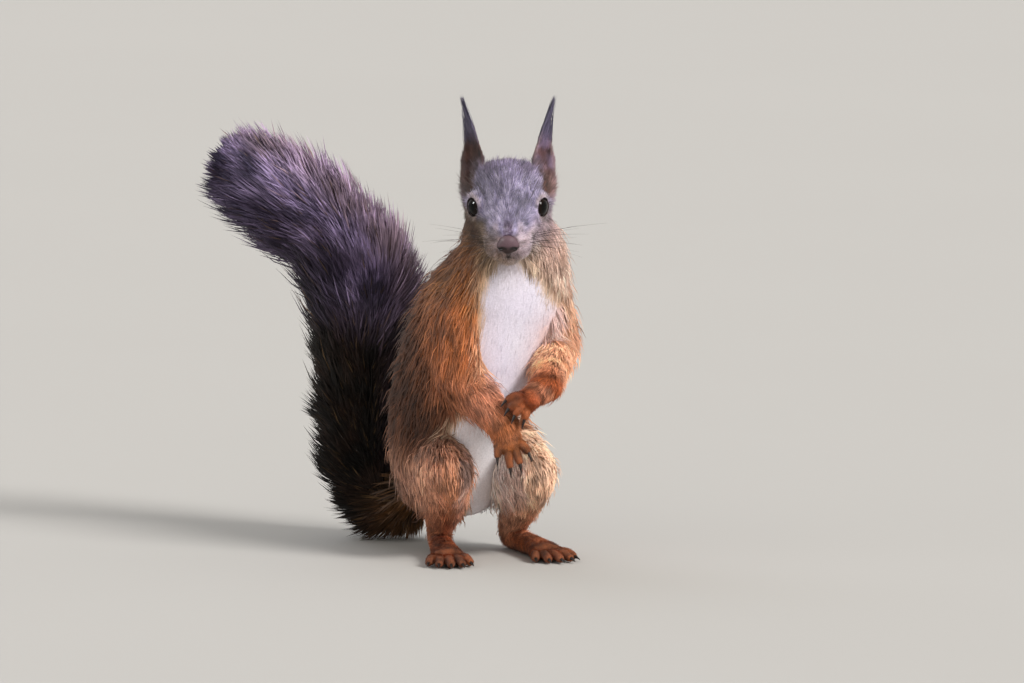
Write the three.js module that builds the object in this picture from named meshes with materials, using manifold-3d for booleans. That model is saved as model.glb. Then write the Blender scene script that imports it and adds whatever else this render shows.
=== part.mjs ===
// A red squirrel, Sciurus vulgaris, upright on its hind legs with its forepaws hanging, its head turned
// to the front and its tail raised behind its right flank. Millimetres, +Z up, the face looks along -Y.
// The origin is on the floor, at the middle of the animal's box. Every size runs out to the coat's tips.

import * as THREE from "three";
import { LoftGeometry } from "three/addons/geometries/LoftGeometry.js";
import { mergeVertices } from "three/addons/utils/BufferGeometryUtils.js";
import Module from "manifold-3d";

const wasm = await Module();
wasm.setup();

const at = (x, y, z) => new THREE.Vector3(x, y, z);

// Driving dimensions, measured from the floor point under the middle of the breast.
const middle = at(-38.2, 13.2, 0); // the middle of the box, where the origin goes
const gap = 0.3; // between two parts cut from one body
const bodyTurn = 30; // degrees the hips are turned to the animal's left
const headPitch = 18; // degrees the nose points below level
const headCentre = at(11.8, -13.5, 150);
const eye = { forward: 8, side: 11.8, up: 3.4, radius: 4.9 };
const nose = { forward: 29.4, up: -4, wide: 4.4, high: 4.2, thick: 3 };
const claw = { length: 3.8, root: 1, tip: 0.4, drop: 0.6 };

// Stations are [x, y, z, half width, half thickness].
const trunkStations = [
  [-12, 23, 27, 23, 22],
  [-11, 19, 43, 27.5, 28],
  [-8.5, 11, 65, 28.5, 32],
  [-3.5, 5, 86, 29, 31],
  [2.5, 1.5, 100, 30.5, 28],
  [8, -1, 111, 29.5, 25],
  [11.6, -3.5, 121, 27.5, 23],
  [13, -4, 131, 24, 21.5],
  [11.8, -1.5, 140, 19, 19],
  [11.8, 0.5, 147, 15, 15.5],
];
const tailStations = [
  [-23, 42, 27, 10, 10],
  [-33, 50, 15.5, 15, 13],
  [-44, 55, 19, 20.5, 15],
  [-49.5, 55, 46, 24, 16],
  [-49, 54, 75, 25, 16],
  [-48, 53, 97, 27, 16],
  [-51, 52, 115, 30.5, 16.5],
  [-66, 52, 132, 29, 16],
  [-86, 53, 148, 27, 15],
  [-105, 55, 161, 22, 12],
];
// The head's stations are [forward, up, half width, half height] from the head's centre.
const headStations = [
  [-20, 0, 13, 12.5],
  [-12, 0.5, 17.6, 16.8],
  [-4, 1, 19.6, 18.6],
  [4, 0, 18, 16.8],
  [12, -2, 14.6, 13.8],
  [20, -4, 11.4, 10.6],
  [26, -5, 9.4, 8.4],
];
// The ears' stations are [distance from the head's middle, y, z, half width, half thickness].
const earStations = [
  [12.8, -6.5, 153, 5.6, 2.2],
  [14, -5.4, 160, 6.9, 2.2],
  [15, -4.2, 168, 6.2, 2],
  [16, -3, 176, 4.6, 1.7],
  [16.8, -1.8, 183, 2.9, 1.4],
  [17.7, -0.8, 189.5, 1.6, 1],
  [18.4, 0, 194, 0.7, 0.6],
];
const earCup = 0.34; // depth of the hollow, as a part of the half width
const earTurn = 40; // degrees the hollow faces out from straight ahead

// The joints of each side. The animal's right is towards -X.
const limbs = {
  right: {
    shoulder: at(-7, -12, 108),
    elbow: at(-8.5, -19.5, 78.5),
    wrist: at(10.3, -33.4, 59.5),
    palm: at(12.2, -36.5, 53),
    fingers: [
      [at(7.4, -36.5, 53.5), at(7.4, -40.5, 48)],
      [at(11, -37.5, 51.5), at(12.6, -41.8, 43.8)],
      [at(14.4, -37.5, 51.5), at(16.6, -41.8, 45.4)],
      [at(16.6, -36.5, 53.5), at(20, -40.2, 49.8)],
    ],
    hip: at(-20.5, 15, 42),
    knee: at(-12.5, -21, 38),
    heel: at(-17.5, 14, 9),
    palmFaces: at(0.3, -1, 0.2),
    footTurn: 6,
  },
  left: {
    shoulder: at(25, 1, 107),
    elbow: at(31.5, 11, 87.5),
    wrist: at(28, -26, 75.5),
    palm: at(20.5, -34, 71),
    fingers: [
      [at(17, -36, 73.2), at(11.6, -38.4, 71.6)],
      [at(17, -37, 70.8), at(12.6, -39.6, 68.4)],
      [at(18, -37.2, 68.6), at(15, -39.6, 65.6)],
      [at(20.5, -36, 67), at(18.8, -38.4, 63.8)],
    ],
    hip: at(4, 27, 42),
    knee: at(22.5, -7.5, 36.5),
    heel: at(12.5, 26, 9),
    palmFaces: at(-0.5, -1, 0.3),
    footTurn: 24,
  },
};
const arm = { shoulder: 13, upper: 12.5, elbow: 10, forearm: 8.8, wrist: 6.4 };
const hand = { wide: 6, thick: 4, finger: 2 };
const leg = { hip: 20.5, thigh: 18.5, knee: 12.5, shank: 10.5, ankle: 5.8 };
const foot = { length: 52, heel: 4.8, ball: 7.6, high: 4.3, sole: 3.6, toe: 2.3 };
const digitTaper = 0.85; // the tip of a finger or toe against its root
const digitEnd = 0.6; // how far its tip bulges, against its radius
// Each toe is [place across the ball, reach past the ball, spread in degrees].
const toes = [
  [-6.2, 9, -16],
  [-3.2, 13.5, -7],
  [0, 15, 0],
  [3.2, 14, 7],
  [6, 9.5, 16],
];

const colours = {
  rust: 0xa2552f,
  flank: 0x7a5a45,
  crown: 0x7d7078,
  white: 0xe8e0e0,
  tail: 0x3c343c,
  paw: 0x86401d,
  ear: 0x5a423f,
  claw: 0x2a1d18,
  nose: 0x5c4850,
  eye: 0x0d0a0a,
};

// Shapes

const turned = (degrees) => at(1, 0, 0).applyAxisAngle(at(0, 0, 1), THREE.MathUtils.degToRad(degrees));

// A round-ended body along a curve through the stations. Its thickness lies nearest to the vector `deep`.
function lofted(stations, options = {}) {
  const { around = 12, rings = 8, caps = 2, deep = at(0, 1, 0), cup = 0, grow = 0, ends = 0.6 } = options;
  const path = new THREE.CatmullRomCurve3(stations.map(([x, y, z]) => at(x, y, z)));
  const girth = new THREE.CatmullRomCurve3(stations.map(([, , , wide, thick = wide]) => at(wide, thick, 0)));
  const rows = [];
  for (let i = caps; i > 0; i--) rows.push({ along: 0, swell: i / (caps + 0.35), side: -1 });
  for (let i = 0; i <= rings; i++) rows.push({ along: i / rings, swell: 0, side: 0 });
  for (let i = 1; i <= caps; i++) rows.push({ along: 1, swell: i / (caps + 0.35), side: 1 });
  const sections = rows.map(({ along, swell, side }) => {
    const heading = path.getTangent(along);
    const across = deep.clone().cross(heading).normalize();
    const up = heading.clone().cross(across);
    const size = girth.getPoint(along);
    const turn = (swell * Math.PI) / 2;
    const wide = (size.x + grow) * Math.cos(turn);
    const thick = (size.y + grow) * Math.cos(turn);
    const reach = side * (ends * Math.min(size.x, size.y) + grow) * Math.sin(turn);
    const centre = path.getPoint(along).addScaledVector(heading, reach);
    return Array.from({ length: around }, (_, i) => {
      const angle = (i / around) * Math.PI * 2;
      const bow = cup * wide * (Math.cos(angle) ** 2 - 0.5);
      return centre
        .clone()
        .addScaledVector(across, wide * Math.cos(angle))
        .addScaledVector(up, thick * Math.sin(angle) + bow);
    });
  });
  return solidOf(new LoftGeometry(sections, { capStart: true, capEnd: true }));
}

function solidOf(geometry) {
  const bare = new THREE.BufferGeometry();
  bare.setAttribute("position", geometry.attributes.position);
  bare.setIndex(geometry.index);
  const merged = mergeVertices(bare, 1e-4);
  const vertProperties = new Float32Array(merged.attributes.position.array);
  const triVerts = new Uint32Array(merged.index.array);
  return new wasm.Manifold(new wasm.Mesh({ numProp: 3, vertProperties, triVerts }));
}

function ellipsoid(centre, radii, grow = 0, around = 11) {
  const geometry = new THREE.SphereGeometry(1, around, Math.round(around * 0.7));
  geometry.scale(radii.x + grow, radii.y + grow, radii.z + grow);
  geometry.rotateX(THREE.MathUtils.degToRad(headPitch));
  geometry.translate(centre.x, centre.y, centre.z);
  return solidOf(geometry);
}

// The half space behind a plane, as a large box. The plane passes through `point` and faces along `normal`.
function behind(point, normal, shift = 0) {
  const reach = 400;
  const geometry = new THREE.BoxGeometry(reach, reach, reach);
  const facing = normal.clone().normalize();
  geometry.applyQuaternion(new THREE.Quaternion().setFromUnitVectors(at(0, 0, 1), facing));
  const centre = point.clone().addScaledVector(facing, shift - reach / 2);
  geometry.translate(centre.x, centre.y, centre.z);
  return solidOf(geometry);
}

// A cut can leave a sliver on the far side, so only the largest body stays.
function largest(solid) {
  return solid.decompose().sort((a, b) => b.volume() - a.volume())[0];
}

const floor = () => behind(at(0, 0, 0), at(0, 0, 1));
const standing = (solid) => solid.subtract(floor());

// Parts a body along its length into one piece more than there are planes.
function parted(solid, planes) {
  const pieces = [];
  let rest = solid;
  for (const [point, normal] of planes) {
    pieces.push(largest(rest.intersect(behind(point, normal, -gap / 2))));
    rest = rest.subtract(behind(point, normal, gap / 2));
  }
  return [...pieces, largest(rest)];
}

const squirrel = new THREE.Group();
squirrel.position.copy(middle).negate();

function addPart(name, solid, colour, roughness = 0.9) {
  const { numProp, vertProperties, triVerts } = solid.getMesh();
  const geometry = new THREE.BufferGeometry();
  const positions = new Float32Array((vertProperties.length / numProp) * 3);
  for (let i = 0; i < positions.length; i++) {
    positions[i] = vertProperties[Math.floor(i / 3) * numProp + (i % 3)];
  }
  geometry.setAttribute("position", new THREE.BufferAttribute(positions, 3));
  geometry.setIndex(new THREE.BufferAttribute(new Uint32Array(triVerts), 1));
  geometry.computeVertexNormals();
  const material = new THREE.MeshStandardMaterial({ color: colour, roughness, metalness: 0 });
  const mesh = new THREE.Mesh(geometry, material);
  mesh.name = name;
  squirrel.add(mesh);
}

// Head

const pitch = THREE.MathUtils.degToRad(headPitch);
const ahead = at(0, -Math.cos(pitch), -Math.sin(pitch));
const above = at(0, -Math.sin(pitch), Math.cos(pitch));
const onHead = (forward, side, up) =>
  headCentre.clone().addScaledVector(ahead, forward).addScaledVector(above, up).add(at(side, 0, 0));

function headSolid(grow) {
  const stations = headStations.map(([forward, up, wide, high]) => {
    const centre = onHead(forward, 0, up);
    return [centre.x, centre.y, centre.z, wide, high];
  });
  return lofted(stations, { around: 17, rings: 10, caps: 3, deep: above, grow, ends: 0.5 });
}

const head = headSolid(0);
const headRoom = headSolid(gap);
const eyes = {
  right: onHead(eye.forward, -eye.side, eye.up),
  left: onHead(eye.forward, eye.side, eye.up),
};
const ball = at(eye.radius, eye.radius, eye.radius);
const noseCentre = onHead(nose.forward, 0, nose.up);
const pad = at(nose.wide, nose.thick, nose.high);

let bareHead = head.subtract(ellipsoid(noseCentre, pad, gap));
for (const centre of Object.values(eyes)) bareHead = bareHead.subtract(ellipsoid(centre, ball, gap));
addPart("head", largest(bareHead), colours.crown);
addPart("nose", ellipsoid(noseCentre, pad, 0, 10), colours.nose, 0.5);
for (const [side, centre] of Object.entries(eyes)) {
  addPart(`eye_${side}`, ellipsoid(centre, ball), colours.eye, 0.1);
}

function earSolid(sign) {
  const stations = earStations.map(([side, ...rest]) => [headCentre.x + sign * side, ...rest]);
  const facing = turned(-90 + sign * (90 - earTurn));
  return lofted(stations, { around: 9, rings: 8, caps: 1, deep: facing, cup: earCup });
}

addPart("ear_right", largest(earSolid(-1).subtract(headRoom)), colours.ear);
addPart("ear_left", largest(earSolid(1).subtract(headRoom)), colours.ear);

// Trunk

const hipsAhead = turned(bodyTurn - 90);
const trunkSolid = (grow) => lofted(trunkStations, { around: 19, rings: 14, caps: 3, deep: hipsAhead, grow });
const trunk = standing(trunkSolid(0)).subtract(headRoom);
const trunkRoom = trunkSolid(gap);
const [belly, chest, neck] = parted(trunk, [
  [at(-3, 4, 78), at(0.1, -0.1, 1)],
  [at(9, -3, 116), at(0.1, -0.25, 1)],
]);
addPart("neck", neck, colours.rust);
addPart("chest", chest, colours.white);
addPart("belly", belly, colours.white);

// Limbs are lofts through their joints, fullest near the body.

const station = (point, wide, thick = wide) => [...point, wide, thick];
const between = (from, to, share) => from.clone().lerp(to, share);

const upperArm = ({ shoulder, elbow }, grow) =>
  lofted(
    [
      station(shoulder, arm.shoulder),
      station(between(shoulder, elbow, 0.5), arm.upper),
      station(elbow, arm.elbow),
    ],
    { around: 12, rings: 5, grow, ends: 0.9 },
  );

const forearm = ({ elbow, wrist }, grow) =>
  lofted(
    [
      station(elbow, arm.elbow - 0.6),
      station(between(elbow, wrist, 0.4), arm.forearm),
      station(wrist, arm.wrist),
    ],
    { around: 11, rings: 4, deep: at(0, 0, 1), grow, ends: 0.9 },
  );

const palm = ({ wrist, palm: centre, palmFaces }) => {
  const knuckles = centre.clone().addScaledVector(centre.clone().sub(wrist).normalize(), 2);
  return lofted(
    [
      station(wrist, arm.wrist - 0.2, arm.wrist - 0.6),
      station(centre, hand.wide, hand.thick),
      station(knuckles, hand.wide, hand.thick),
    ],
    { around: 9, rings: 3, deep: palmFaces },
  );
};

const thigh = ({ hip, knee }, grow) =>
  lofted(
    [
      station(hip, leg.hip, leg.hip * 0.82),
      station(between(hip, knee, 0.5), leg.thigh, leg.thigh * 0.72),
      station(knee, leg.knee, leg.knee * 0.82),
    ],
    { around: 15, rings: 6, deep: turned(bodyTurn), grow, ends: 0.9 },
  );

const shank = ({ knee, heel }, grow) =>
  lofted(
    [
      station(knee, leg.knee * 0.8, leg.knee * 0.7),
      station(between(knee, heel, 0.45), leg.shank, leg.shank * 0.8),
      station(heel, leg.ankle, leg.ankle * 0.9),
    ],
    { around: 11, rings: 4, deep: turned(bodyTurn), grow, ends: 0.8 },
  );

const sole = (heel, instep, ballOfFoot) =>
  lofted(
    [
      station(heel, foot.heel, foot.high + 1),
      station(instep, foot.heel * 1.15, foot.high + 0.4),
      station(ballOfFoot, foot.ball, foot.sole + 0.3),
    ],
    { around: 9, rings: 4, deep: at(0, 0, 1), ends: 0.9 },
  );

const digit = (root, bend, tip, radius, deep) =>
  lofted(
    [
      station(root, radius),
      station(bend, radius),
      station(tip, radius * digitTaper),
    ],
    { around: 5, rings: 2, caps: 1, deep, ends: digitEnd },
  );

// A claw starts just past the round end of its digit and bends down.
function addClaw(name, tip, heading, radius) {
  const root = tip.clone().addScaledVector(heading, radius * digitTaper * digitEnd + gap);
  const bend = root.clone().addScaledVector(heading, claw.length * 0.55);
  const point = root.clone().addScaledVector(heading, claw.length).add(at(0, 0, -claw.drop));
  const stations = [station(root, claw.root), station(bend, claw.root * 0.85), station(point, claw.tip)];
  const solid = lofted(stations, { around: 5, rings: 2, caps: 1, deep: at(0.1, 0.2, 1), ends: 0.1 });
  addPart(name, solid, colours.claw, 0.4);
}

for (const [side, limb] of Object.entries(limbs)) {
  const freeUpperArm = upperArm(limb, 0).subtract(trunkRoom).subtract(headRoom);
  addPart(`upper_arm_${side}`, largest(freeUpperArm), colours.rust);
  const freeForearm = forearm(limb, 0).subtract(upperArm(limb, gap)).subtract(trunkRoom);
  addPart(`forearm_${side}`, largest(freeForearm), colours.rust);

  let handSolid = palm(limb);
  limb.fingers.forEach(([root, tip], i) => {
    const bend = between(root, tip, 0.5).addScaledVector(limb.palmFaces, 0.8);
    handSolid = handSolid.add(digit(root, bend, tip, hand.finger, limb.palmFaces));
    const heading = tip.clone().sub(root).normalize().add(at(0, 0, -0.35)).normalize();
    addClaw(`claw_hand_${side}_${i + 1}`, tip, heading, hand.finger);
  });
  addPart(`hand_${side}`, largest(handSolid.subtract(forearm(limb, gap))), colours.paw);
}

for (const [side, limb] of Object.entries(limbs)) {
  addPart(`thigh_${side}`, largest(thigh(limb, 0).subtract(trunkRoom)), colours.flank);
  const freeShank = standing(shank(limb, 0)).subtract(thigh(limb, gap)).subtract(trunkRoom);
  addPart(`shank_${side}`, largest(freeShank), colours.rust);

  const ahead = turned(limb.footTurn - 90);
  const toTheSide = turned(limb.footTurn);
  const heel = limb.heel.clone().setZ(foot.high + 0.6);
  const instep = heel.clone().addScaledVector(ahead, foot.length * 0.4).setZ(foot.high);
  const ballOfFoot = heel.clone().addScaledVector(ahead, foot.length * 0.72).setZ(foot.sole);
  let footSolid = sole(heel, instep, ballOfFoot);
  toes.forEach(([across, reach, spread], i) => {
    const heading = turned(limb.footTurn - 90 + spread);
    const root = ballOfFoot.clone().addScaledVector(toTheSide, across * 0.85).setZ(foot.toe);
    const start = ballOfFoot.clone().addScaledVector(toTheSide, across);
    const tip = start.addScaledVector(heading, reach).setZ(foot.toe - 0.3);
    const bend = between(root, tip, 0.55).setZ(foot.toe + 0.9);
    footSolid = footSolid.add(digit(root, bend, tip, foot.toe, at(0, 0, 1)));
    addClaw(`claw_foot_${side}_${i + 1}`, tip, heading, foot.toe);
  });
  addPart(`foot_${side}`, largest(standing(footSolid).subtract(shank(limb, gap))), colours.paw);
}

// Tail

const tail = standing(lofted(tailStations, { around: 14, rings: 18, caps: 3, deep: at(0, 1, 0), ends: 0.75 }))
  .subtract(trunkRoom)
  .subtract(thigh(limbs.right, gap));
const [tailBase, tailMiddle, tailTip] = parted(tail, [
  [at(-50, 55, 52), at(0, 0, 1)],
  [at(-61, 52, 126), at(-1, 0, 0.75)],
]);
addPart("tail_base", tailBase, colours.tail);
addPart("tail_middle", tailMiddle, colours.tail);
addPart("tail_tip", tailTip, colours.tail);

export default squirrel;
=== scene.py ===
import math

import bpy
import numpy as np
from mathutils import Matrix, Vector


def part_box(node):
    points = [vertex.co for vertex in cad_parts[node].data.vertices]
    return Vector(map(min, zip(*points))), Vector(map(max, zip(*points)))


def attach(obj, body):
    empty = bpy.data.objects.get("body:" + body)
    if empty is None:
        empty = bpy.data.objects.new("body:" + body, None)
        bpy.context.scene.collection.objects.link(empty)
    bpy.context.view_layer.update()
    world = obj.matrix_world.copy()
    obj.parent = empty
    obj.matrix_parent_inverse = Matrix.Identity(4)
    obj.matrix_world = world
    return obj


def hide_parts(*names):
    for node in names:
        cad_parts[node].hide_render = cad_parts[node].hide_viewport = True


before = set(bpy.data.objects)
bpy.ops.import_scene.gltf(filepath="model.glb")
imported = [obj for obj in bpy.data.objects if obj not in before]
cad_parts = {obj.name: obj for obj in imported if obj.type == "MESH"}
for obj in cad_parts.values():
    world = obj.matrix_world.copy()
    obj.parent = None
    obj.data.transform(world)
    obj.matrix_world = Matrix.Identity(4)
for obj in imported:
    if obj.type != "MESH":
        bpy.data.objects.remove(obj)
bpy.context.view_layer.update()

# Tables are in millimetres, from the floor point under the middle of the breast, +Z up, the face
# towards -Y. toFrame moves them to the frame's origin, in metres.
breast = np.array((38.2, -13.2, 0.0))
metre = 1000.0


def toFrame(points):
    return (np.asarray(points) + breast) / metre


def fromFrame(points):
    return np.asarray(points) * metre - breast


def unit(vectors):
    return vectors / np.maximum(np.linalg.norm(vectors, axis=-1, keepdims=True), 1e-9)


def ramp(value, low, high):
    share = np.clip((value - low) / (high - low), 0, 1)
    return share * share * (3 - 2 * share)


def turned(degrees):
    return np.array((math.cos(math.radians(degrees)), math.sin(math.radians(degrees)), 0.0))


def colour(code):
    srgb = np.array([int(code[i:i + 2], 16) for i in (0, 2, 4)]) / 255
    return np.where(srgb <= 0.04045, srgb / 12.92, ((srgb + 0.055) / 1.055) ** 2.4)


def mix(under, over, share):
    share = np.asarray(share)[..., None]
    return under * (1 - share) + over * share


# How far points are from a middle, one number for each.
def gapTo(points, middle):
    return np.linalg.norm(points - middle, axis=1)


# Soft noise from 0 to 1 in lumps about `size` across.
def cloud(points, size, seed):
    lattice = np.random.default_rng(seed).random((32, 32, 32))
    cell = np.asarray(points) / size
    low = np.floor(cell).astype(int)
    part = cell - low
    part = part * part * (3 - 2 * part)
    total = 0
    for corner in np.ndindex(2, 2, 2):
        weight = np.prod(np.where(corner, part, 1 - part), axis=-1)
        total = total + weight * lattice[tuple(((low + corner) % 32).T)]
    return total


# The body is made of chains of oval stations, whose widths go out to the tips of the coat.
bodyTurn = 30      # degrees the hips are turned to the animal's left
headPitch = math.radians(18)     # how far the nose points below level
headCentre = np.array((11.8, -13.5, 150.0))
ahead = np.array((0, -math.cos(headPitch), -math.sin(headPitch)))
above = np.array((0, -math.sin(headPitch), math.cos(headPitch)))

# x, y, z, half width, half thickness, out to the tips of the coat
trunkStations = [
    (-12, 23, 27, 23, 22), (-11, 19, 43, 27.5, 28), (-8.5, 11, 65, 28.5, 32), (-3.5, 5, 86, 29, 31),
    (2.5, 1.5, 100, 30.5, 28), (8, -1, 111, 29.5, 25), (11.6, -3.5, 121, 27.5, 23),
    (13, -4, 131, 24, 21.5), (11.8, -1.5, 140, 19, 19), (11.8, 0.5, 147, 15, 15.5),
]
tailStations = [
    (-23, 42, 27, 10, 10), (-33, 50, 15.5, 15, 13), (-44, 55, 19, 20.5, 15), (-49.5, 55, 46, 24, 16),
    (-49, 54, 75, 25, 16), (-48, 53, 97, 27, 16), (-51, 52, 115, 30.5, 16.5), (-66, 52, 132, 29, 16),
    (-86, 53, 148, 27, 15), (-105, 55, 161, 22, 12),
]
# forward, up, half width, half height, coat depth
headStations = [
    (-20, 0, 13, 12.5, 3.4), (-12, 0.5, 17.6, 16.8, 3.2), (-4, 1, 19.6, 18.6, 2.4), (4, 0, 18, 16.8, 2.0),
    (12, -2, 14.6, 13.8, 1.5), (20, -4, 11.4, 10.6, 1.1), (26, -5, 9.4, 8.4, 0.8),
]
# side, y, z, half width, half thickness of the ear without its tuft
earStations = [
    (13.4, -6.8, 153, 5.4, 2.3), (13.9, -5.6, 160, 6.3, 1.8), (14.0, -4.2, 168, 6.5, 1.4),
    (14.9, -3.1, 175, 4.7, 1.2), (15.6, -2.4, 180, 2.0, 1.0),
]
earCup = 0.55
earTurn = 45

limbs = {
    "right": {
        "shoulder": (-7, -12, 108), "elbow": (-8.5, -19.5, 78.5), "wrist": (10.3, -33.4, 59.5),
        "palm": (12.2, -36.5, 53),
        "fingers": [
            ((7.4, -36.5, 53.5), (7.4, -40.5, 48)), ((11, -37.5, 51.5), (12.6, -41.8, 43.8)),
            ((14.4, -37.5, 51.5), (16.6, -41.8, 45.4)), ((16.6, -36.5, 53.5), (20, -40.2, 49.8)),
        ],
        "hip": (-20.5, 15, 42), "knee": (-12.5, -21, 38), "heel": (-17.5, 14, 9),
        "palmFaces": (0.3, -1, 0.2), "footTurn": 6, "armDrift": (0, 0, -0.3),
    },
    "left": {
        "shoulder": (25, 1, 107), "elbow": (31.5, 11, 87.5), "wrist": (28, -26, 75.5),
        "palm": (20.5, -34, 71),
        "fingers": [
            ((17, -36, 73.2), (11.6, -38.4, 71.6)), ((17, -37, 70.8), (12.6, -39.6, 68.4)),
            ((18, -37.2, 68.6), (15, -39.6, 65.6)), ((20.5, -36, 67), (18.8, -38.4, 63.8)),
        ],
        "hip": (4, 27, 42), "knee": (22.5, -7.5, 36.5), "heel": (12.5, 26, 9),
        "palmFaces": (-0.5, -1, 0.3), "footTurn": 24, "armDrift": (-1.1, 0, -1.3),
    },
}
arm = {"shoulder": 13, "upper": 12.5, "elbow": 10, "below": 9.4, "forearm": 8.8, "wrist": 6.4}
hand = {"cuffWide": 6.2, "cuffThick": 5.8, "wide": 6, "thick": 4, "finger": 2, "knuckles": 2, "arch": 0.8}
# each half thickness of the leg is a share of its half width
leg = {"hip": 20.5, "thigh": 18.5, "knee": 12.5, "kneeBelow": 10, "shank": 10.5, "ankle": 5.8,
       "hipFlat": 0.82, "thighFlat": 0.72, "kneeFlat": 0.82, "belowFlat": 0.875, "shankFlat": 0.8,
       "ankleFlat": 0.9}
foot = {"length": 52, "heel": 4.8, "instep": 5.52, "ball": 7.6, "high": 4.3, "sole": 3.6, "toe": 2.3,
        "insteps": 0.4, "balls": 0.72, "rootSpread": 0.85, "toeBend": 0.55, "toeArch": 0.9}
toes = [(-6.2, 9, -16), (-3.2, 13.5, -7), (0, 15, 0), (3.2, 14, 7), (6, 9.5, 16)]
digitTaper = 0.85
digitEnd = 0.6
claw = {"length": 2.9, "root": 0.66, "tip": 0.1, "drop": 1.1, "inside": 1.0, "taper": 1.6, "points": 9,
        "sides": 12, "floorGap": 0.02, "hang": 0.35, "tints": ("241711", "0c0705")}

# how deep the coat is on each part, in mm
coatDepth = {
    "trunk": (4.0, 4.5, 4.5, 4.5, 4.5, 4.2, 4.0, 3.8, 3.4, 3.0), "tail": 2.0, "arm": (3.6, 3.4, 3.2),
    "forearm": (3.2, 2.5, 1.7), "thigh": (4.2, 4.2, 3.4), "shank": (3.2, 2.2, 1.3), "hand": (1.6, 1.0, 0.8),
    "foot": (1.2, 0.9, 0.8), "digit": (0.6, 0.45, 0.35), "ear": 0.4,
}
tailCore = 0.42  # the tail under its hair, against its outline


def smoothLine(table, steps):
    table = np.asarray(table, float)
    padded = np.vstack((2 * table[0] - table[1], table, 2 * table[-1] - table[-2]))
    rows = []
    for i in range(len(table) - 1):
        before, start, end, after = padded[i:i + 4]
        for t in np.arange(steps) / steps:
            rows.append(start + 0.5 * t * (end - before + t * (2 * before - 5 * start + 4 * end - after
                        + t * (3 * (start - end) + after - before))))
    return np.array(rows + [table[-1]])


chains = []


# A round-ended tube of oval section. The hair lies along it, `flow` 1 or -1, and drifts a little aside.
def addChain(name, region, stations, coat, deep, ends=0.6, steps=3, cup=0, flow=1, drift=(0, 0, 0),
             weld=2.0, core=1):
    table = np.array(stations, float)
    depth = np.resize(coat, len(table)) if np.ndim(coat) == 0 else np.array(coat, float)
    fine = smoothLine(np.column_stack((table, depth)), steps)
    line = fine[:, :3]
    heading = unit(np.gradient(line, axis=0))
    across = unit(np.cross(np.array(deep, float), heading))
    up = np.cross(heading, across)
    wide = fine[:, 3] * core - fine[:, 5]
    thick = fine[:, 4] * core - fine[:, 5]
    chains.append({
        "name": name, "region": region, "line": line, "heading": heading, "across": across, "up": up,
        "wide": np.maximum(wide, 0.8), "thick": np.maximum(thick, 0.8), "outerWide": fine[:, 3],
        "outerThick": fine[:, 4], "coat": fine[:, 5], "ends": ends, "cup": cup, "weld": weld,
        "lay": unit(heading * flow + np.array(drift, float)),
    })
    return chains[-1]


def onHead(forward, side, up):
    return headCentre + forward * ahead + up * above + np.array((side, 0, 0))


def between(start, end, share):
    return np.array(start, float) * (1 - share) + np.array(end, float) * share


def station(point, wide, thick=None):
    return (*point, wide, wide if thick is None else thick)


hipsAhead = turned(bodyTurn - 90)
addChain("trunk", "trunk", trunkStations, coatDepth["trunk"], hipsAhead, flow=-1, steps=4)
addChain("head", "head", [(*onHead(f, 0, u), w, h) for f, u, w, h, c in headStations],
         [c for f, u, w, h, c in headStations], above, ends=0.5, flow=-1, weld=9, steps=4)
for sign, side in ((-1, "right"), (1, "left")):
    facing = turned(-90 + sign * (90 - earTurn))
    addChain(f"ear_{side}", "ear", [(headCentre[0] + sign * s, *rest) for s, *rest in earStations],
             coatDepth["ear"], facing, cup=earCup, weld=2.5, steps=4)

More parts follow.
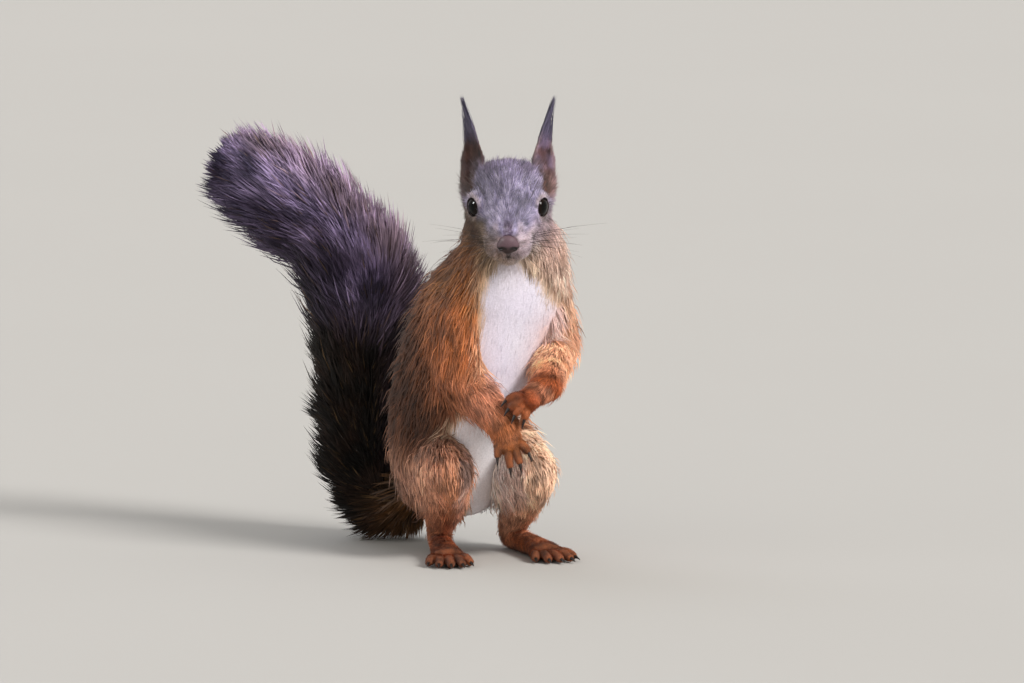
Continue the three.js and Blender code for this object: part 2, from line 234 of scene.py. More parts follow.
for side, limb in limbs.items():
    sideways = turned(bodyTurn)
    shoulder, elbow, wrist = (np.array(limb[k], float) for k in ("shoulder", "elbow", "wrist"))
    hip, knee, heel = (np.array(limb[k], float) for k in ("hip", "knee", "heel"))
    addChain(f"arm_{side}", "arm", [
        station(shoulder, arm["shoulder"]), station(between(shoulder, elbow, 0.5), arm["upper"]),
        station(elbow, arm["elbow"])], coatDepth["arm"], (0, 1, 0), ends=0.9, steps=5, weld=5)
    addChain(f"forearm_{side}", "forearm", [
        station(elbow, arm["below"]), station(between(elbow, wrist, 0.4), arm["forearm"]),
        station(wrist, arm["wrist"])], coatDepth["forearm"], (0, 0, 1), ends=0.9, steps=5, weld=3,
        drift=limb["armDrift"])
    palmCentre = np.array(limb["palm"], float)
    knuckles = palmCentre + hand["knuckles"] * unit(palmCentre - wrist)
    addChain(f"palm_{side}", "hand", [
        station(wrist, hand["cuffWide"], hand["cuffThick"]),
        station(palmCentre, hand["wide"], hand["thick"]),
        station(knuckles, hand["wide"], hand["thick"])], coatDepth["hand"], limb["palmFaces"],
        steps=4, weld=2, drift=limb["armDrift"])
    for i, (root, tip) in enumerate(limb["fingers"]):
        bend = between(root, tip, 0.5) + hand["arch"] * np.array(limb["palmFaces"])
        addChain(f"finger_{side}_{i + 1}", "digit", [
            station(root, hand["finger"]), station(bend, hand["finger"]),
            station(tip, hand["finger"] * digitTaper)], coatDepth["digit"], limb["palmFaces"],
            ends=digitEnd, steps=4, weld=0.9)
    addChain(f"thigh_{side}", "thigh", [
        station(hip, leg["hip"], leg["hip"] * leg["hipFlat"]),
        station(between(hip, knee, 0.5), leg["thigh"], leg["thigh"] * leg["thighFlat"]),
        station(knee, leg["knee"], leg["knee"] * leg["kneeFlat"])], coatDepth["thigh"], sideways,
        ends=0.9, steps=5, weld=2.5, drift=(0, 0, -0.8))
    addChain(f"shank_{side}", "shank", [
        station(knee, leg["kneeBelow"], leg["kneeBelow"] * leg["belowFlat"]),
        station(between(knee, heel, 0.45), leg["shank"], leg["shank"] * leg["shankFlat"]),
        station(heel, leg["ankle"], leg["ankle"] * leg["ankleFlat"])], coatDepth["shank"], sideways,
        ends=0.8, steps=5, weld=3)
    forwards = turned(limb["footTurn"] - 90)
    toTheSide = turned(limb["footTurn"])
    heelPoint = np.array((heel[0], heel[1], foot["high"] + 0.6))
    instep = np.array((*(heelPoint + forwards * foot["length"] * foot["insteps"])[:2], foot["high"]))
    ball = np.array((*(heelPoint + forwards * foot["length"] * foot["balls"])[:2], foot["sole"]))
    addChain(f"sole_{side}", "foot", [
        station(heelPoint, foot["heel"], foot["high"] + 1),
        station(instep, foot["instep"], foot["high"] + 0.4),
        station(ball, foot["ball"], foot["sole"] + 0.3)], coatDepth["foot"], (0, 0, 1),
        ends=0.9, steps=6, weld=2)
    limb["toes"] = []
    for i, (sideStep, reach, spread) in enumerate(toes):
        root = np.array((*(ball + toTheSide * sideStep * foot["rootSpread"])[:2], foot["toe"]))
        tip = ball + toTheSide * sideStep + turned(limb["footTurn"] - 90 + spread) * reach
        tip = np.array((*tip[:2], foot["toe"] - 0.3))
        bend = between(root, tip, foot["toeBend"])
        bend[2] = foot["toe"] + foot["toeArch"]
        limb["toes"].append((root, tip))
        addChain(f"toe_{side}_{i + 1}", "digit", [
            station(root, foot["toe"]), station(bend, foot["toe"]), station(tip, foot["toe"] * digitTaper)],
            coatDepth["digit"], (0, 0, 1), ends=digitEnd, steps=4, weld=0.9)

addChain("tail", "tail", tailStations, coatDepth["tail"], (0, 1, 0), ends=0.75, weld=4,
         core=tailCore, steps=4)
chainNumber = {chain["name"]: i for i, chain in enumerate(chains)}
regionOf = np.array([chain["region"] for chain in chains])


# Where a point lies on a chain: its distance from the surface, its place along, across and around.
def measure(chain, points, outer=False):
    start = chain["line"][:-1]
    reach = np.diff(chain["line"], axis=0)
    square = (reach * reach).sum(1)
    offset = (start * reach).sum(1)
    place = np.empty(len(points))
    for rows in np.array_split(np.arange(len(points)), max(1, len(points) // 60000)):
        part = points[rows]
        along = part @ reach.T - offset
        share = np.clip(along / square, 0, 1)
        far = (part * part).sum(1)[:, None] - 2 * part @ start.T + (start * start).sum(1)
        far = far - 2 * share * along + share * share * square
        pick = far.argmin(1)
        place[rows] = pick + share[np.arange(len(rows)), pick]
    low = np.minimum(place.astype(int), len(start) - 1)
    part = place - low

    def at(key):
        values = chain[key]
        step = part if values.ndim == 1 else part[:, None]
        return values[low] * (1 - step) + values[low + 1] * step

    away = points - at("line")
    heading = at("heading")
    wide = at("outerWide" if outer else "wide")
    thick = at("outerThick" if outer else "thick")
    x = (away * at("across")).sum(1)
    y = (away * at("up")).sum(1)
    y = y - chain["cup"] * wide * (np.clip(x / wide, -1, 1) ** 2 - 0.5)
    z = (away * heading).sum(1)
    pastEnd = ((place <= 0) & (z < 0)) | ((place >= len(start)) & (z > 0))
    z = np.where(pastEnd, z, 0)
    tip = np.maximum(chain["ends"] * np.minimum(wide, thick), 0.3)
    k0 = np.sqrt((x / wide) ** 2 + (y / thick) ** 2 + (z / tip) ** 2)
    k1 = np.sqrt((x / wide ** 2) ** 2 + (y / thick ** 2) ** 2 + (z / tip ** 2) ** 2)
    return {
        "distance": k0 * (k0 - 1) / np.maximum(k1, 1e-6), "share": place / len(start), "heading": heading,
        "angle": np.arctan2(y / thick, x / wide) / (2 * math.pi) % 1, "across": x / wide, "beyond": z,
        "coat": at("coat"), "lay": at("lay"),
    }


# The skin is the zero level of a field of distances, on a grid that is finer at the head and paws.
def gridLine(*stretches):
    lines = [np.arange(low, high - step * 0.01, step) for low, high, step in stretches]
    return np.concatenate(lines + [[stretches[-1][1]]])


fine, coarse = 0.58, 1.3
axes = (
    gridLine((-128, -14, coarse), (-14, 36, fine), (36, 46, coarse)),
    gridLine((-52, -6, fine), (-6, 74, coarse)),
    gridLine((-2, 10, 0.7), (10, 42, coarse), (42, 78, 0.75), (78, 127, coarse), (127, 184, fine)),
)
openAir = 30.0
field = np.full([len(a) for a in axes], openAir)


def blockPoints(low, high):
    spans = []
    for axis, start, end in zip(axes, low, high):
        spans.append(slice(max(np.searchsorted(axis, start) - 1, 0), np.searchsorted(axis, end) + 1))
    lines = [axis[span] for axis, span in zip(axes, spans)]
    grid = np.stack(np.meshgrid(*lines, indexing="ij"), axis=-1)
    return tuple(spans), grid.reshape(-1, 3), grid.shape[:3]


def weldTo(old, new, radius):
    near = np.maximum(radius - np.abs(old - new), 0) / radius
    return np.minimum(old, new) - near * near * radius / 4


def carveFrom(old, new, radius):
    near = np.maximum(radius - np.abs(old + new), 0) / radius
    return np.maximum(old, -new) + near * near * radius / 4


for chain in chains:
    pad = 13 + np.maximum(chain["wide"], chain["thick"]).max()
    span, points, shape = blockPoints(chain["line"].min(0) - pad, chain["line"].max(0) + pad)
    distance = measure(chain, points)["distance"].reshape(shape)
    field[span] = weldTo(field[span], distance, chain["weld"])
print("body field", field.shape)

# Eyes: the balls are where the frame has them, and the skin closes round them in two lids.
eyeAim = {"side": 0.86, "ahead": 0.5, "above": 0.12}
eyes = {}
for side, sign in (("right", -1), ("left", 1)):
    low, high = (fromFrame(np.array(corner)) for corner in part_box(f"eye_{side}"))
    sideways = eyeAim["side"] * sign * np.array((1, 0, 0))
    look = unit(sideways + eyeAim["ahead"] * ahead + eyeAim["above"] * above)
    upright = unit(above - look * (above @ look))
    eyes[side] = {"centre": (low + high) / 2, "radius": (high - low).max() / 2, "look": look,
                  "up": upright, "level": np.cross(upright, look)}

lid = {"wide": 4.1, "high": 3.75, "thick": 0.8, "forward": 2.6, "socket": 5.0, "rim": 1.03,
       "shell": 0.65, "margin": 0.2, "weld": 1.2, "smooth": 8.5}


def eyeGapAt(points):
    return np.min([gapTo(points, eye["centre"]) for eye in eyes.values()], axis=0)


# How far out from the middle of the eye a point is, with the lids' edge at 1.
def lidSpread(points, eye):
    away = points - eye["centre"]
    return np.hypot(away @ eye["level"] / lid["wide"], away @ eye["up"] / lid["high"])


def lidDistance(points, eye):
    away = points - eye["centre"]
    spread = lidSpread(points, eye)
    size = np.hypot(away @ eye["level"], away @ eye["up"]) / np.maximum(spread, 1e-6)
    return np.hypot((spread - 1) * size, away @ eye["look"] - lid["forward"]) - lid["thick"]


for eye in eyes.values():
    span, points, shape = blockPoints(eye["centre"] - 16, eye["centre"] + 16)
    block = field[span].ravel()
    away = gapTo(points, eye["centre"])
    behind = -((points - eye["centre"]) @ eye["look"]) - 1
    opening = (lid["high"] + lid["margin"]) * (1 - lidSpread(points, eye))
    shell = np.max([away - lid["socket"] - lid["shell"], opening, behind], axis=0)
    block = carveFrom(block, away - lid["socket"], 1.0)
    block = weldTo(block, shell, lid["weld"])
    block = weldTo(block, lidDistance(points, eye), lid["weld"])
    block = carveFrom(block, away - lid["socket"], 0.5)
    field[span] = block.reshape(shape)

# The face: whisker pads, lower jaw, the line of the mouth and a bed for the nose.
noseBox = [fromFrame(np.array(corner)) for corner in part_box("nose")]
noseCentre = (noseBox[0] + noseBox[1]) / 2
noseSize = (noseBox[1] - noseBox[0]) / 2
faceBumps = [  # forward, side, up, radius, weld
    (25.0, 4.6, -7.6, 4.4, 2.5),   # whisker pad
    (22.5, 0.0, -11.2, 4.2, 3.0),  # lower jaw
]
mouth = {
    "line": [(29.5, 0, -9.6), (28.4, 1.8, -11.0), (26.5, 4.2, -11.4), (23.0, 6.6, -10.9), (19.0, 8.4, -10.2)],
    "cleft": [(31.5, 0, -7.0), (30.6, 0, -8.6), (29.5, 0, -10.2)], "gap": 0.62, "soft": 0.7,
}
noseBed = {"scale": 3.4, "depth": 3.1, "soft": 0.8}


def lineDistance(points, line):
    best = np.full(len(points), np.inf)
    for start, end in zip(line[:-1], line[1:]):
        reach = end - start
        share = np.clip((points - start) @ reach / (reach @ reach), 0, 1)
        best = np.minimum(best, gapTo(points, start + share[:, None] * reach))
    return best


def gapToLines(points, lines):
    return np.min([lineDistance(points, line) for line in lines], axis=0)


span, points, shape = blockPoints(onHead(14, 0, -6) - 24, onHead(14, 0, -6) + 24)
block = field[span].ravel()
for forward, side, up, radius, weld in faceBumps:
    for sign in (-1, 1):
        block = weldTo(block, gapTo(points, onHead(forward, sign * side, up)) - radius, weld)
bed = np.linalg.norm((points - noseCentre) / noseSize, axis=1) * noseBed["scale"] - noseBed["depth"]
block = carveFrom(block, bed, noseBed["soft"])
mouthLines = [smoothLine([onHead(f, sign * s, u) for f, s, u in mouth["line"]], 3) for sign in (-1, 1)]
mouthLines.append(smoothLine([onHead(*p) for p in mouth["cleft"]], 2))
for line in mouthLines:
    block = carveFrom(block, lineDistance(points, line) - mouth["gap"], mouth["soft"])
field[span] = block.reshape(shape)

# The hollow of each ear runs on down the side of the head to the eye, with a rim behind it.
earHollow = {"line": [(14.6, -10.5, 164), (15.2, -13.5, 159.5), (15.0, -17, 156)], "radius": 2.0, "weld": 1.6}
earRim = {"line": [(17.6, -0.6, 168), (17.7, -3.0, 162), (17.5, -7, 156.5), (16.9, -11.5, 152)],
          "radius": 0.9, "weld": 2.8}


def besideHead(line, sign):
    return smoothLine([(headCentre[0] + sign * side, y, z) for side, y, z in line], 3)


hollows = [besideHead(earHollow["line"], sign) for sign in (-1, 1)]
rims = [besideHead(earRim["line"], sign) for sign in (-1, 1)]
for hollow, rim in zip(hollows, rims):
    both = np.vstack((hollow, rim))
    span, points, shape = blockPoints(both.min(0) - 8, both.max(0) + 8)
    block = weldTo(field[span].ravel(), lineDistance(points, rim) - earRim["radius"], earRim["weld"])
    block = carveFrom(block, lineDistance(points, hollow) - earHollow["radius"], earHollow["weld"])
    field[span] = block.reshape(shape)

# The soles are flat on the floor.
field = np.maximum(field, -axes[2][None, None, :])


def fieldAt(points):
    low, part = [], []
    for values, axis in zip(points.T, axes):
        i = np.clip(np.searchsorted(axis, values) - 1, 0, len(axis) - 2)
        low.append(i)
        part.append(np.clip((values - axis[i]) / (axis[i + 1] - axis[i]), 0, 1))
    total = 0
    for corner in np.ndindex(2, 2, 2):
        weight = np.prod([p if c else 1 - p for c, p in zip(corner, part)], axis=0)
        total = total + weight * field[tuple(i + c for i, c in zip(low, corner))]
    return total


def slopeAt(points, step=0.5):
    slope = [fieldAt(points + step * side) - fieldAt(points - step * side) for side in np.eye(3)]
    return np.stack(slope, axis=1) / (2 * step)


def settle(points, height, rounds=2):
    for _ in range(rounds):
        slope = slopeAt(points)
        steep = np.maximum((slope * slope).sum(1), 0.25)
        points = points + slope * ((height - fieldAt(points)) / steep)[:, None]
    return points


# A closed skin of four-sided faces round everything below zero in a field on a grid.
def skinOf(values, lines):
    inside = values < 0
    cells = tuple(n - 1 for n in values.shape)
    corners = list(np.ndindex(2, 2, 2))

    def cornerOf(array, corner):
        return array[tuple(slice(c, c + n) for c, n in zip(corner, cells))]

    count = sum(cornerOf(inside, c).astype(np.int8) for c in corners)
    active = (count > 0) & (count < 8)
    where = np.argwhere(active)
    number = np.full(cells, -1)
    number[active] = np.arange(len(where))
    level = [values[tuple((where + c).T)] for c in corners]
    spots = [np.stack([line[where[:, i] + c[i]] for i, line in enumerate(lines)], axis=1) for c in corners]
    total = np.zeros((len(where), 3))
    hits = np.zeros(len(where))
    pairs = [(a, b) for a in range(8) for b in range(a)]
    for a, b in [(a, b) for a, b in pairs if sum(np.abs(np.subtract(corners[a], corners[b]))) == 1]:
        crossed = (level[a] < 0) != (level[b] < 0)
        share = np.where(crossed, level[a] / np.where(crossed, level[a] - level[b], 1), 0)
        total += (spots[a] + share[:, None] * (spots[b] - spots[a])) * crossed[:, None]
        hits += crossed
    quads = []
    for axis in range(3):
        u, v = (axis + 1) % 3, (axis + 2) % 3
        lower = [slice(None)] * 3
        upper = [slice(None)] * 3
        lower[axis], upper[axis] = slice(0, -1), slice(1, None)
        first = inside[tuple(lower)]
        edge = np.argwhere(first != inside[tuple(upper)])
        edge = edge[(edge[:, u] > 0) & (edge[:, v] > 0) & (edge[:, u] < cells[u]) & (edge[:, v] < cells[v])]
        outward = first[tuple(edge.T)]
        ring = []
        for du, dv in ((1, 1), (0, 1), (0, 0), (1, 0)):
            cell = edge.copy()
            cell[:, u] -= du
            cell[:, v] -= dv
            ring.append(number[tuple(cell.T)])
        ring = np.stack(ring, axis=1)
        quads.append(np.where(outward[:, None], ring, ring[:, ::-1]))
    return total / hits[:, None], np.concatenate(quads)


def relax(points, faces, rounds, pull=0.5):
    edges = np.concatenate([faces[:, [i, (i + 1) % faces.shape[1]]] for i in range(faces.shape[1])])
    edges = np.concatenate((edges, edges[:, ::-1]))
    degree = np.bincount(edges[:, 0], minlength=len(points))
    for _ in range(rounds):
        beside = points[edges[:, 1]]
        total = [np.bincount(edges[:, 0], weights=beside[:, i], minlength=len(points)) for i in range(3)]
        points = points + pull * (np.stack(total, axis=1) / degree[:, None] - points)
    return points


skinPoints, skinFaces = skinOf(field, axes)
skinPoints = settle(relax(skinPoints, skinFaces, 2), 0, rounds=2)
nearEyes = ramp(lid["smooth"] - eyeGapAt(skinPoints), 0, 2)[:, None]
skinPoints += nearEyes * (relax(skinPoints, skinFaces, 5) - skinPoints)
for eye in eyes.values():
    away = skinPoints - eye["centre"]
    reach = np.linalg.norm(away, axis=1)[:, None]
    skinPoints = eye["centre"] + away * np.maximum(reach, lid["socket"] - 0.04) / reach
onFloor = skinPoints[:, 2] < 0.35
skinPoints[onFloor, 2] = np.maximum(skinPoints[onFloor, 2], 0)
skinNormals = unit(slopeAt(skinPoints))
skinNormals = unit(skinNormals + nearEyes * (relax(skinNormals, skinFaces, 3) - skinNormals))
print("skin", len(skinPoints), "points", len(skinFaces), "faces")

regions = sorted(set(regionOf))
crease = {"spread": 1.5, "soft": 3.0, "reach": 9.0}


# For points on the skin: the way the hair lies, the coat's depth, the chain that owns each one and how
# much each region has a part in it.
def surveyOf(points):
    count = len(points)
    survey = {
        "lay": np.zeros((count, 3)), "coat": np.zeros(count), "nearest": np.full(count, np.inf),
        "second": np.full(count, np.inf), "owner": np.zeros(count, int), "share": np.zeros(count),
        "across": np.zeros(count), "angle": np.zeros(count), "parts": {r: np.zeros(count) for r in regions},
    }
    weights = np.zeros(count)
    for number, chain in enumerate(chains):
        pad = crease["reach"] + max(chain["wide"].max(), chain["thick"].max())
        near = np.all((points > chain["line"].min(0) - pad) & (points < chain["line"].max(0) + pad), axis=1)
        rows = np.flatnonzero(near)
        if not len(rows):
            continue
        found = measure(chain, points[rows])
        distance = found["distance"]
        weight = np.exp(-np.maximum(distance, 0) / crease["spread"])
        survey["lay"][rows] += weight[:, None] * found["lay"]
        survey["coat"][rows] += weight * found["coat"]
        weights[rows] += weight
        part = survey["parts"][chain["region"]]
        part[rows] = np.maximum(part[rows], np.exp(-np.maximum(distance, 0) / crease["soft"]))
        closer = distance < survey["nearest"][rows]
        further = np.minimum(survey["second"][rows], distance)
        survey["second"][rows] = np.where(closer, survey["nearest"][rows], further)
        survey["nearest"][rows] = np.minimum(survey["nearest"][rows], distance)
        picked = rows[closer]
        survey["owner"][picked] = number
        for key in ("share", "across", "angle"):
            survey[key][picked] = found[key][closer]
    survey["coat"] /= np.maximum(weights, 1e-9)
    total = sum(survey["parts"].values())
    for part in survey["parts"].values():
        part /= np.maximum(total, 1e-9)
    return survey


def headPlace(points):
    away = points - headCentre
    return away @ ahead, points[:, 0] - headCentre[0], away @ above


def combed(points, normals, survey):
    lay = unit(survey["lay"])
    forward, side, up = headPlace(points)
    jaw = ramp(survey["parts"]["head"], 0, 0.4) * ramp(-up, -3, 7) * ramp(24 - forward, 0, 8)
    lay = lay + jaw[:, None] * (np.array((0, 0, -1.5)) + np.sign(side)[:, None] * np.array((0.7, 0, 0)))
    for eye in eyes.values():
        away = points - eye["centre"]
        near = ramp(11 - np.linalg.norm(away, axis=1), 0, 5)
        lay = lay + 0.9 * near[:, None] * unit(away - (away @ eye["look"])[:, None] * eye["look"])
    lay = lay + 0.3 * (1 - survey["parts"]["tail"][:, None]) * np.array((0, 0, -1.0))
    lay = lay - normals * (lay * normals).sum(1)[:, None]
    return unit(lay)


paint = {name: colour(code) for name, code in {
    "rust": "ad6234", "ginger": "c47c4a", "fox": "8d4a24", "brick": "903a06", "cream": "e2c6a8",
    "buff": "d4b4a2", "white": "e0dae4", "lilac": "d2cade", "agouti": "6a4c38", "umber": "38261d",
    "mauve": "a39abd", "heather": "766c8c", "plum": "54435a", "soot": "1b1714", "slate": "5a5a7a",
    "gold": "8c5c22", "rose": "bd8670", "peach": "dba588", "ochre": "7a6040", "earth": "573d30",
    "lip": "1a1010", "pink": "c4a6aa", "dusk": "51475f", "violet": "9382a6", "maroon": "58362a",
    "olive": "6b5427", "snow": "f8f5f9",
}.items()}


def tone(under, over, share):
    return mix(paint[under], paint[over], share)


# The white of the breast and belly: height, middle and half width
bib = np.array([
    (0, 6, 9), (20, 5, 10), (40, 2.5, 11), (62, 1, 11.5), (74, 9, 12), (85, 13, 13.5), (97, 16.5, 15.5),
    (108, 17.6, 15.5), (116, 16.4, 13.5), (122, 14.8, 12), (127, 13.4, 9), (131, 12.5, 1),
], float)


def bibShare(points, normals):
    x, y, z = points.T
    middle = np.interp(z, bib[:, 0], bib[:, 1])
    half = np.interp(z, bib[:, 0], bib[:, 2])
    ragged = 2.4 * (cloud(points, 5, 3) - 0.5)
    facing = ramp(-normals[:, 1] + 0.9 * ramp(28 - z, 0, 10) * np.maximum(-normals[:, 2], 0), -0.15, 0.3)
    within = half - np.abs(x - middle) + ragged
    return ramp(within, -1.2, 2.0) * facing, ramp(within, -6, 0) * facing


def trunkMarks(points, normals, survey):
    x, y, z = points.T
    white, edge = bibShare(points, normals)
    ragged = 6 * (cloud(points, 4, 6) - 0.5)
    patches = cloud(points, 7, 5)
    out = mix(tone("rust", "fox", 0.35), paint["ginger"], 0.6 * patches)
    # Painted light and shade: the upper chest and neck are painted pale on the animal's left, where the light
    # falls, and gold-brown on its right, as in shade.
    high = ramp(z, 100, 120)
    paintedLitSide = mix(tone("cream", "pink", 0.4), paint["rose"], 0.55 * patches)
    out = mix(out, paintedLitSide, 0.92 * high * ramp(x, 12, 25))
    out = mix(out, tone("gold", "fox", 0.6 * patches), 0.9 * high * ramp(10 - x, 0, 12))
    # Painted shade: the throat is painted olive towards the animal's right, the shaded side.
    throat = 0.8 * ramp(z, 124, 130) * ramp(14 - np.abs(x - 12.5), 0, 6)
    out = mix(out, tone("cream", "olive", 0.55 * ramp(16 - x, 0, 10)), throat)
    flank = ramp(-14 - x + ragged + 0.25 * (100 - z), -2, 4) * ramp(116 - z + ragged, 0, 12)
    back = np.maximum(ramp(normals @ -hipsAhead, -0.05, 0.5), 0.95 * flank)
    saddle = mix(tone("agouti", "fox", 0.4), paint["umber"], 0.5 * cloud(points, 5, 8))
    out = mix(out, ((0.6 + 0.5 * cloud(points, 3.2, 9)) * (1 - 0.5 * flank))[:, None] * saddle, back)
    out = mix(out, paint["umber"], 0.5 * ramp(normals @ -hipsAhead, 0.6, 0.98))
    out = mix(out, paint["cream"], 0.7 * edge)
    # Painted light: the lower belly is painted a brighter white than the breast, against the shade between
    # the legs.
    pale = mix(tone("white", "lilac", 0.5 * cloud(points, 9, 4)), paint["snow"], ramp(76 - z, 0, 14))
    return mix(out, pale, white)


def headMarks(points, normals, survey):
    forward, side, up = headPlace(points)
    left = ramp(side, -5, 9)
    patches = cloud(points, 4, 11)
    out = tone("mauve", "heather", 0.5 * patches + 0.65 * ramp(up, 8, 17))
    cheek = ramp(-up, -3.5 - 0.5 * left, 0.5 + 3.0 * left) * ramp(25 - 2 * left - forward, 0, 5 + left)
    shadeSide = mix(1.25 * paint["olive"], paint["earth"], 0.45 * patches)
    lightSide = tone("pink", "mauve", 0.35 * patches)
    out = mix(out, mix(shadeSide, lightSide, left), 0.9 * cheek)
    nape = tone("agouti", "gold", patches)
    out = mix(out, nape, ramp(-forward, 2, 17) * (1 - 0.5 * ramp(up, 0, 12)))
    muzzle = ramp(forward, 17, 22) * ramp(-up, -1.5, 2.5)
    shadeSide = tone("buff", "ochre", 0.85)
    out = mix(out, mix(shadeSide, tone("pink", "white", 0.2), left), 0.85 * muzzle)
    beside = ramp(np.abs(side), 3.0, 4.5) * ramp(7.5 - np.abs(side), 0, 2)
    out = mix(out, tone("pink", "white", 0.3), 0.55 * (beside * ramp(forward, 23, 26) * ramp(up, -7, -4)))
    streak = ramp(2.7 - np.abs(side), 0, 1.5) * ramp(forward, 22.5, 27) * ramp(up, -8, -4)
    out = mix(out, paint["plum"], 0.95 * streak)
    # Painted shade: the chin is painted olive on the animal's right, the shaded side.
    chin = ramp(-up, 8.5, 11.5) * ramp(forward, 6, 14)
    out = mix(out, mix(tone("cream", "mauve", 0.4), paint["olive"], 0.7 * (1 - left)), 0.85 * chin)
    speckle = cloud(points, 0.8, 12)
    out = mix(out, 0.5 * out, 0.65 * ramp(0.46 - speckle, 0, 0.14))
    glint = 0.5 * ramp(speckle, 0.58, 0.72) * ramp(forward, -4, 6) * (1 - 0.8 * cheek * (1 - left))
    out = mix(out, 0.5 * out + 0.5 * paint["lilac"], glint)
    # Painted shade: the throat under the head is painted olive on the animal's right, the shaded side.
    throat = ramp(-up, 12, 15) * ramp(forward, -2, 8) * ramp(11 - np.abs(side), 0, 5)
    out = mix(out, mix(tone("cream", "lilac", 0.4), paint["olive"], 0.5 * (1 - left)), 0.9 * throat)
    temple = ramp(np.abs(side), 12.5, 15.0) * ramp(forward, -14, -10)
    temple = temple * ramp(2.5 - forward, 0, 4) * ramp(up, 0, 4)
    # Painted light: the temple is painted rosier on the animal's left, the lit side.
    out = mix(out, mix(tone("agouti", "maroon", patches), paint["rose"], 0.3 * left), 0.85 * temple)
    for sideName, eye in eyes.items():
        away = points - eye["centre"]
        reach = np.linalg.norm(away, axis=1)
        rise = away @ eye["up"]
        # Painted shade: a dark patch under each eye, strong on the right side of the face and faint on the
        # left.
        below = ramp(-rise, 4.5, 7.5) * ramp(13 - reach, 0, 4)  # a dark patch under the eye
        out = mix(out, paint["earth"], (0.8 if sideName == "right" else 0.1) * below)
        spread = lidSpread(points, eye)
        near = reach < 9
        ring = ramp(spread, 1.06, 1.14) * ramp(1.38 - spread, 0, 0.16)
        ring = ring * (0.3 + 0.7 * ramp(np.abs(rise), 1.5, 4.0))
        out = mix(out, tone("cream", "mauve", 0.4), 0.6 * ring * near)
        out = mix(out, paint["lip"], ramp(lid["rim"] + 0.14 - spread, 0, 0.1) * near)
    lips = 0.8 * ramp(1.15 - gapToLines(points, mouthLines), 0, 0.5)
    out = mix(out, paint["lip"], lips * (0.3 + 0.7 * ramp(4 - np.abs(side), 0, 3)))
    out = mix(out, paint["lip"], 0.85 * ramp(1.9 - lineDistance(points, mouthLines[-1]), 0, 0.8))
    hollow = 0.95 * ramp(4.2 - gapToLines(points, hollows), 0, 1.4)
    return mix(out, tone("maroon", "umber", 0.6 * patches), hollow)


def earMarks(points, normals, survey):
    facingOut = np.sign(points[:, :1] - headCentre[0])
    facing = turned(-90)[None, :] + 0.9 * facingOut * np.array(((1, 0, 0),))
    inside = ramp((normals * unit(facing)).sum(1), 0.0, 0.5)
    left = ramp(points[:, 0] - headCentre[0], -2, 2)
    rim = ramp(np.abs(survey["across"]), 0.62, 0.92)
    patches = cloud(points, 3, 22)
    back = tone("fox", "umber", 0.4 + 0.5 * cloud(points, 4, 21))
    # Painted light and shade: the ear on the animal's left is painted lighter, violet inside and pink on the
    # rim, and the right ear darker with umber.
    light = tone("maroon", "violet", left * (0.1 + 0.4 * ramp(patches, 0.3, 0.7)))
    out = mix(back, mix(light, paint["umber"], 0.5 * (1 - left) * patches), inside)
    out = mix(out, tone("earth", "pink", 0.1 + 0.5 * left), 0.6 * rim)
    hollow = 0.9 * ramp(3.6 - gapToLines(points, hollows), 0, 1.2)
    out = mix(out, tone("maroon", "umber", 0.6 * patches), hollow)
    # Painted shade: the right ear is made darker overall.
    out = out * (0.78 + 0.17 * left)[:, None]
    return mix(out, tone("slate", "umber", 0.3), 0.8 * ramp(points[:, 2], 172, 181))


def armMarks(points, normals, survey):
    left = ramp(points[:, 0], 14, 22)
    patches = cloud(points, 5, 31)
    out = mix(tone("rust", "fox", 0.45), paint["ginger"], 0.5 * patches)
    # Painted light: the arm on the animal's left, the lit side, is painted paler ginger and peach and made
    # brighter.
    out = mix(out, tone("ginger", "peach", 0.5 + 0.5 * patches), 0.95 * left)
    out = out * (1.06 + 0.12 * left)[:, None]
    out = mix(out, paint["rose"], 0.35 * ramp(cloud(points, 9, 32), 0.5, 0.9))
    return mix(out, paint["agouti"], 0.7 * ramp(normals @ -hipsAhead, 0.45, 0.95))


def forearmMarks(points, normals, survey):
    left = ramp(points[:, 0], 14, 22)
    patches = cloud(points, 5, 35)
    out = mix(tone("rust", "rose", 0.45 * (1 - left)), paint["fox"], 0.45 * patches)
    # Painted light: the forearm is painted pale ginger and peach on the animal's left, the lit side.
    pale = 0.95 * left * ramp(1.15 - survey["share"], 0, 0.5)
    out = mix(out, 1.3 * tone("ginger", "peach", 0.25 + 0.75 * patches), pale)
    return 1.12 * mix(out, tone("fox", "brick", left), 0.6 * ramp(survey["share"], 0.75, 1.05))


def handMarks(points, normals, survey):
    left = ramp(points[:, 0] + points[:, 2], 84, 92)
    out = 1.4 * mix(tone("rust", "gold", 0.4), paint["fox"], 0.4 * cloud(points, 3, 41))
    return mix(out, tone("brick", "fox", 0.1), 0.95 * left)


def digitMarks(points, normals, survey):
    left = ramp(points[:, 0] + points[:, 2], 76, 84)
    return mix(tone("fox", "brick", 0.8 * left), paint["earth"], 0.2 + 0.4 * cloud(points, 2, 43))


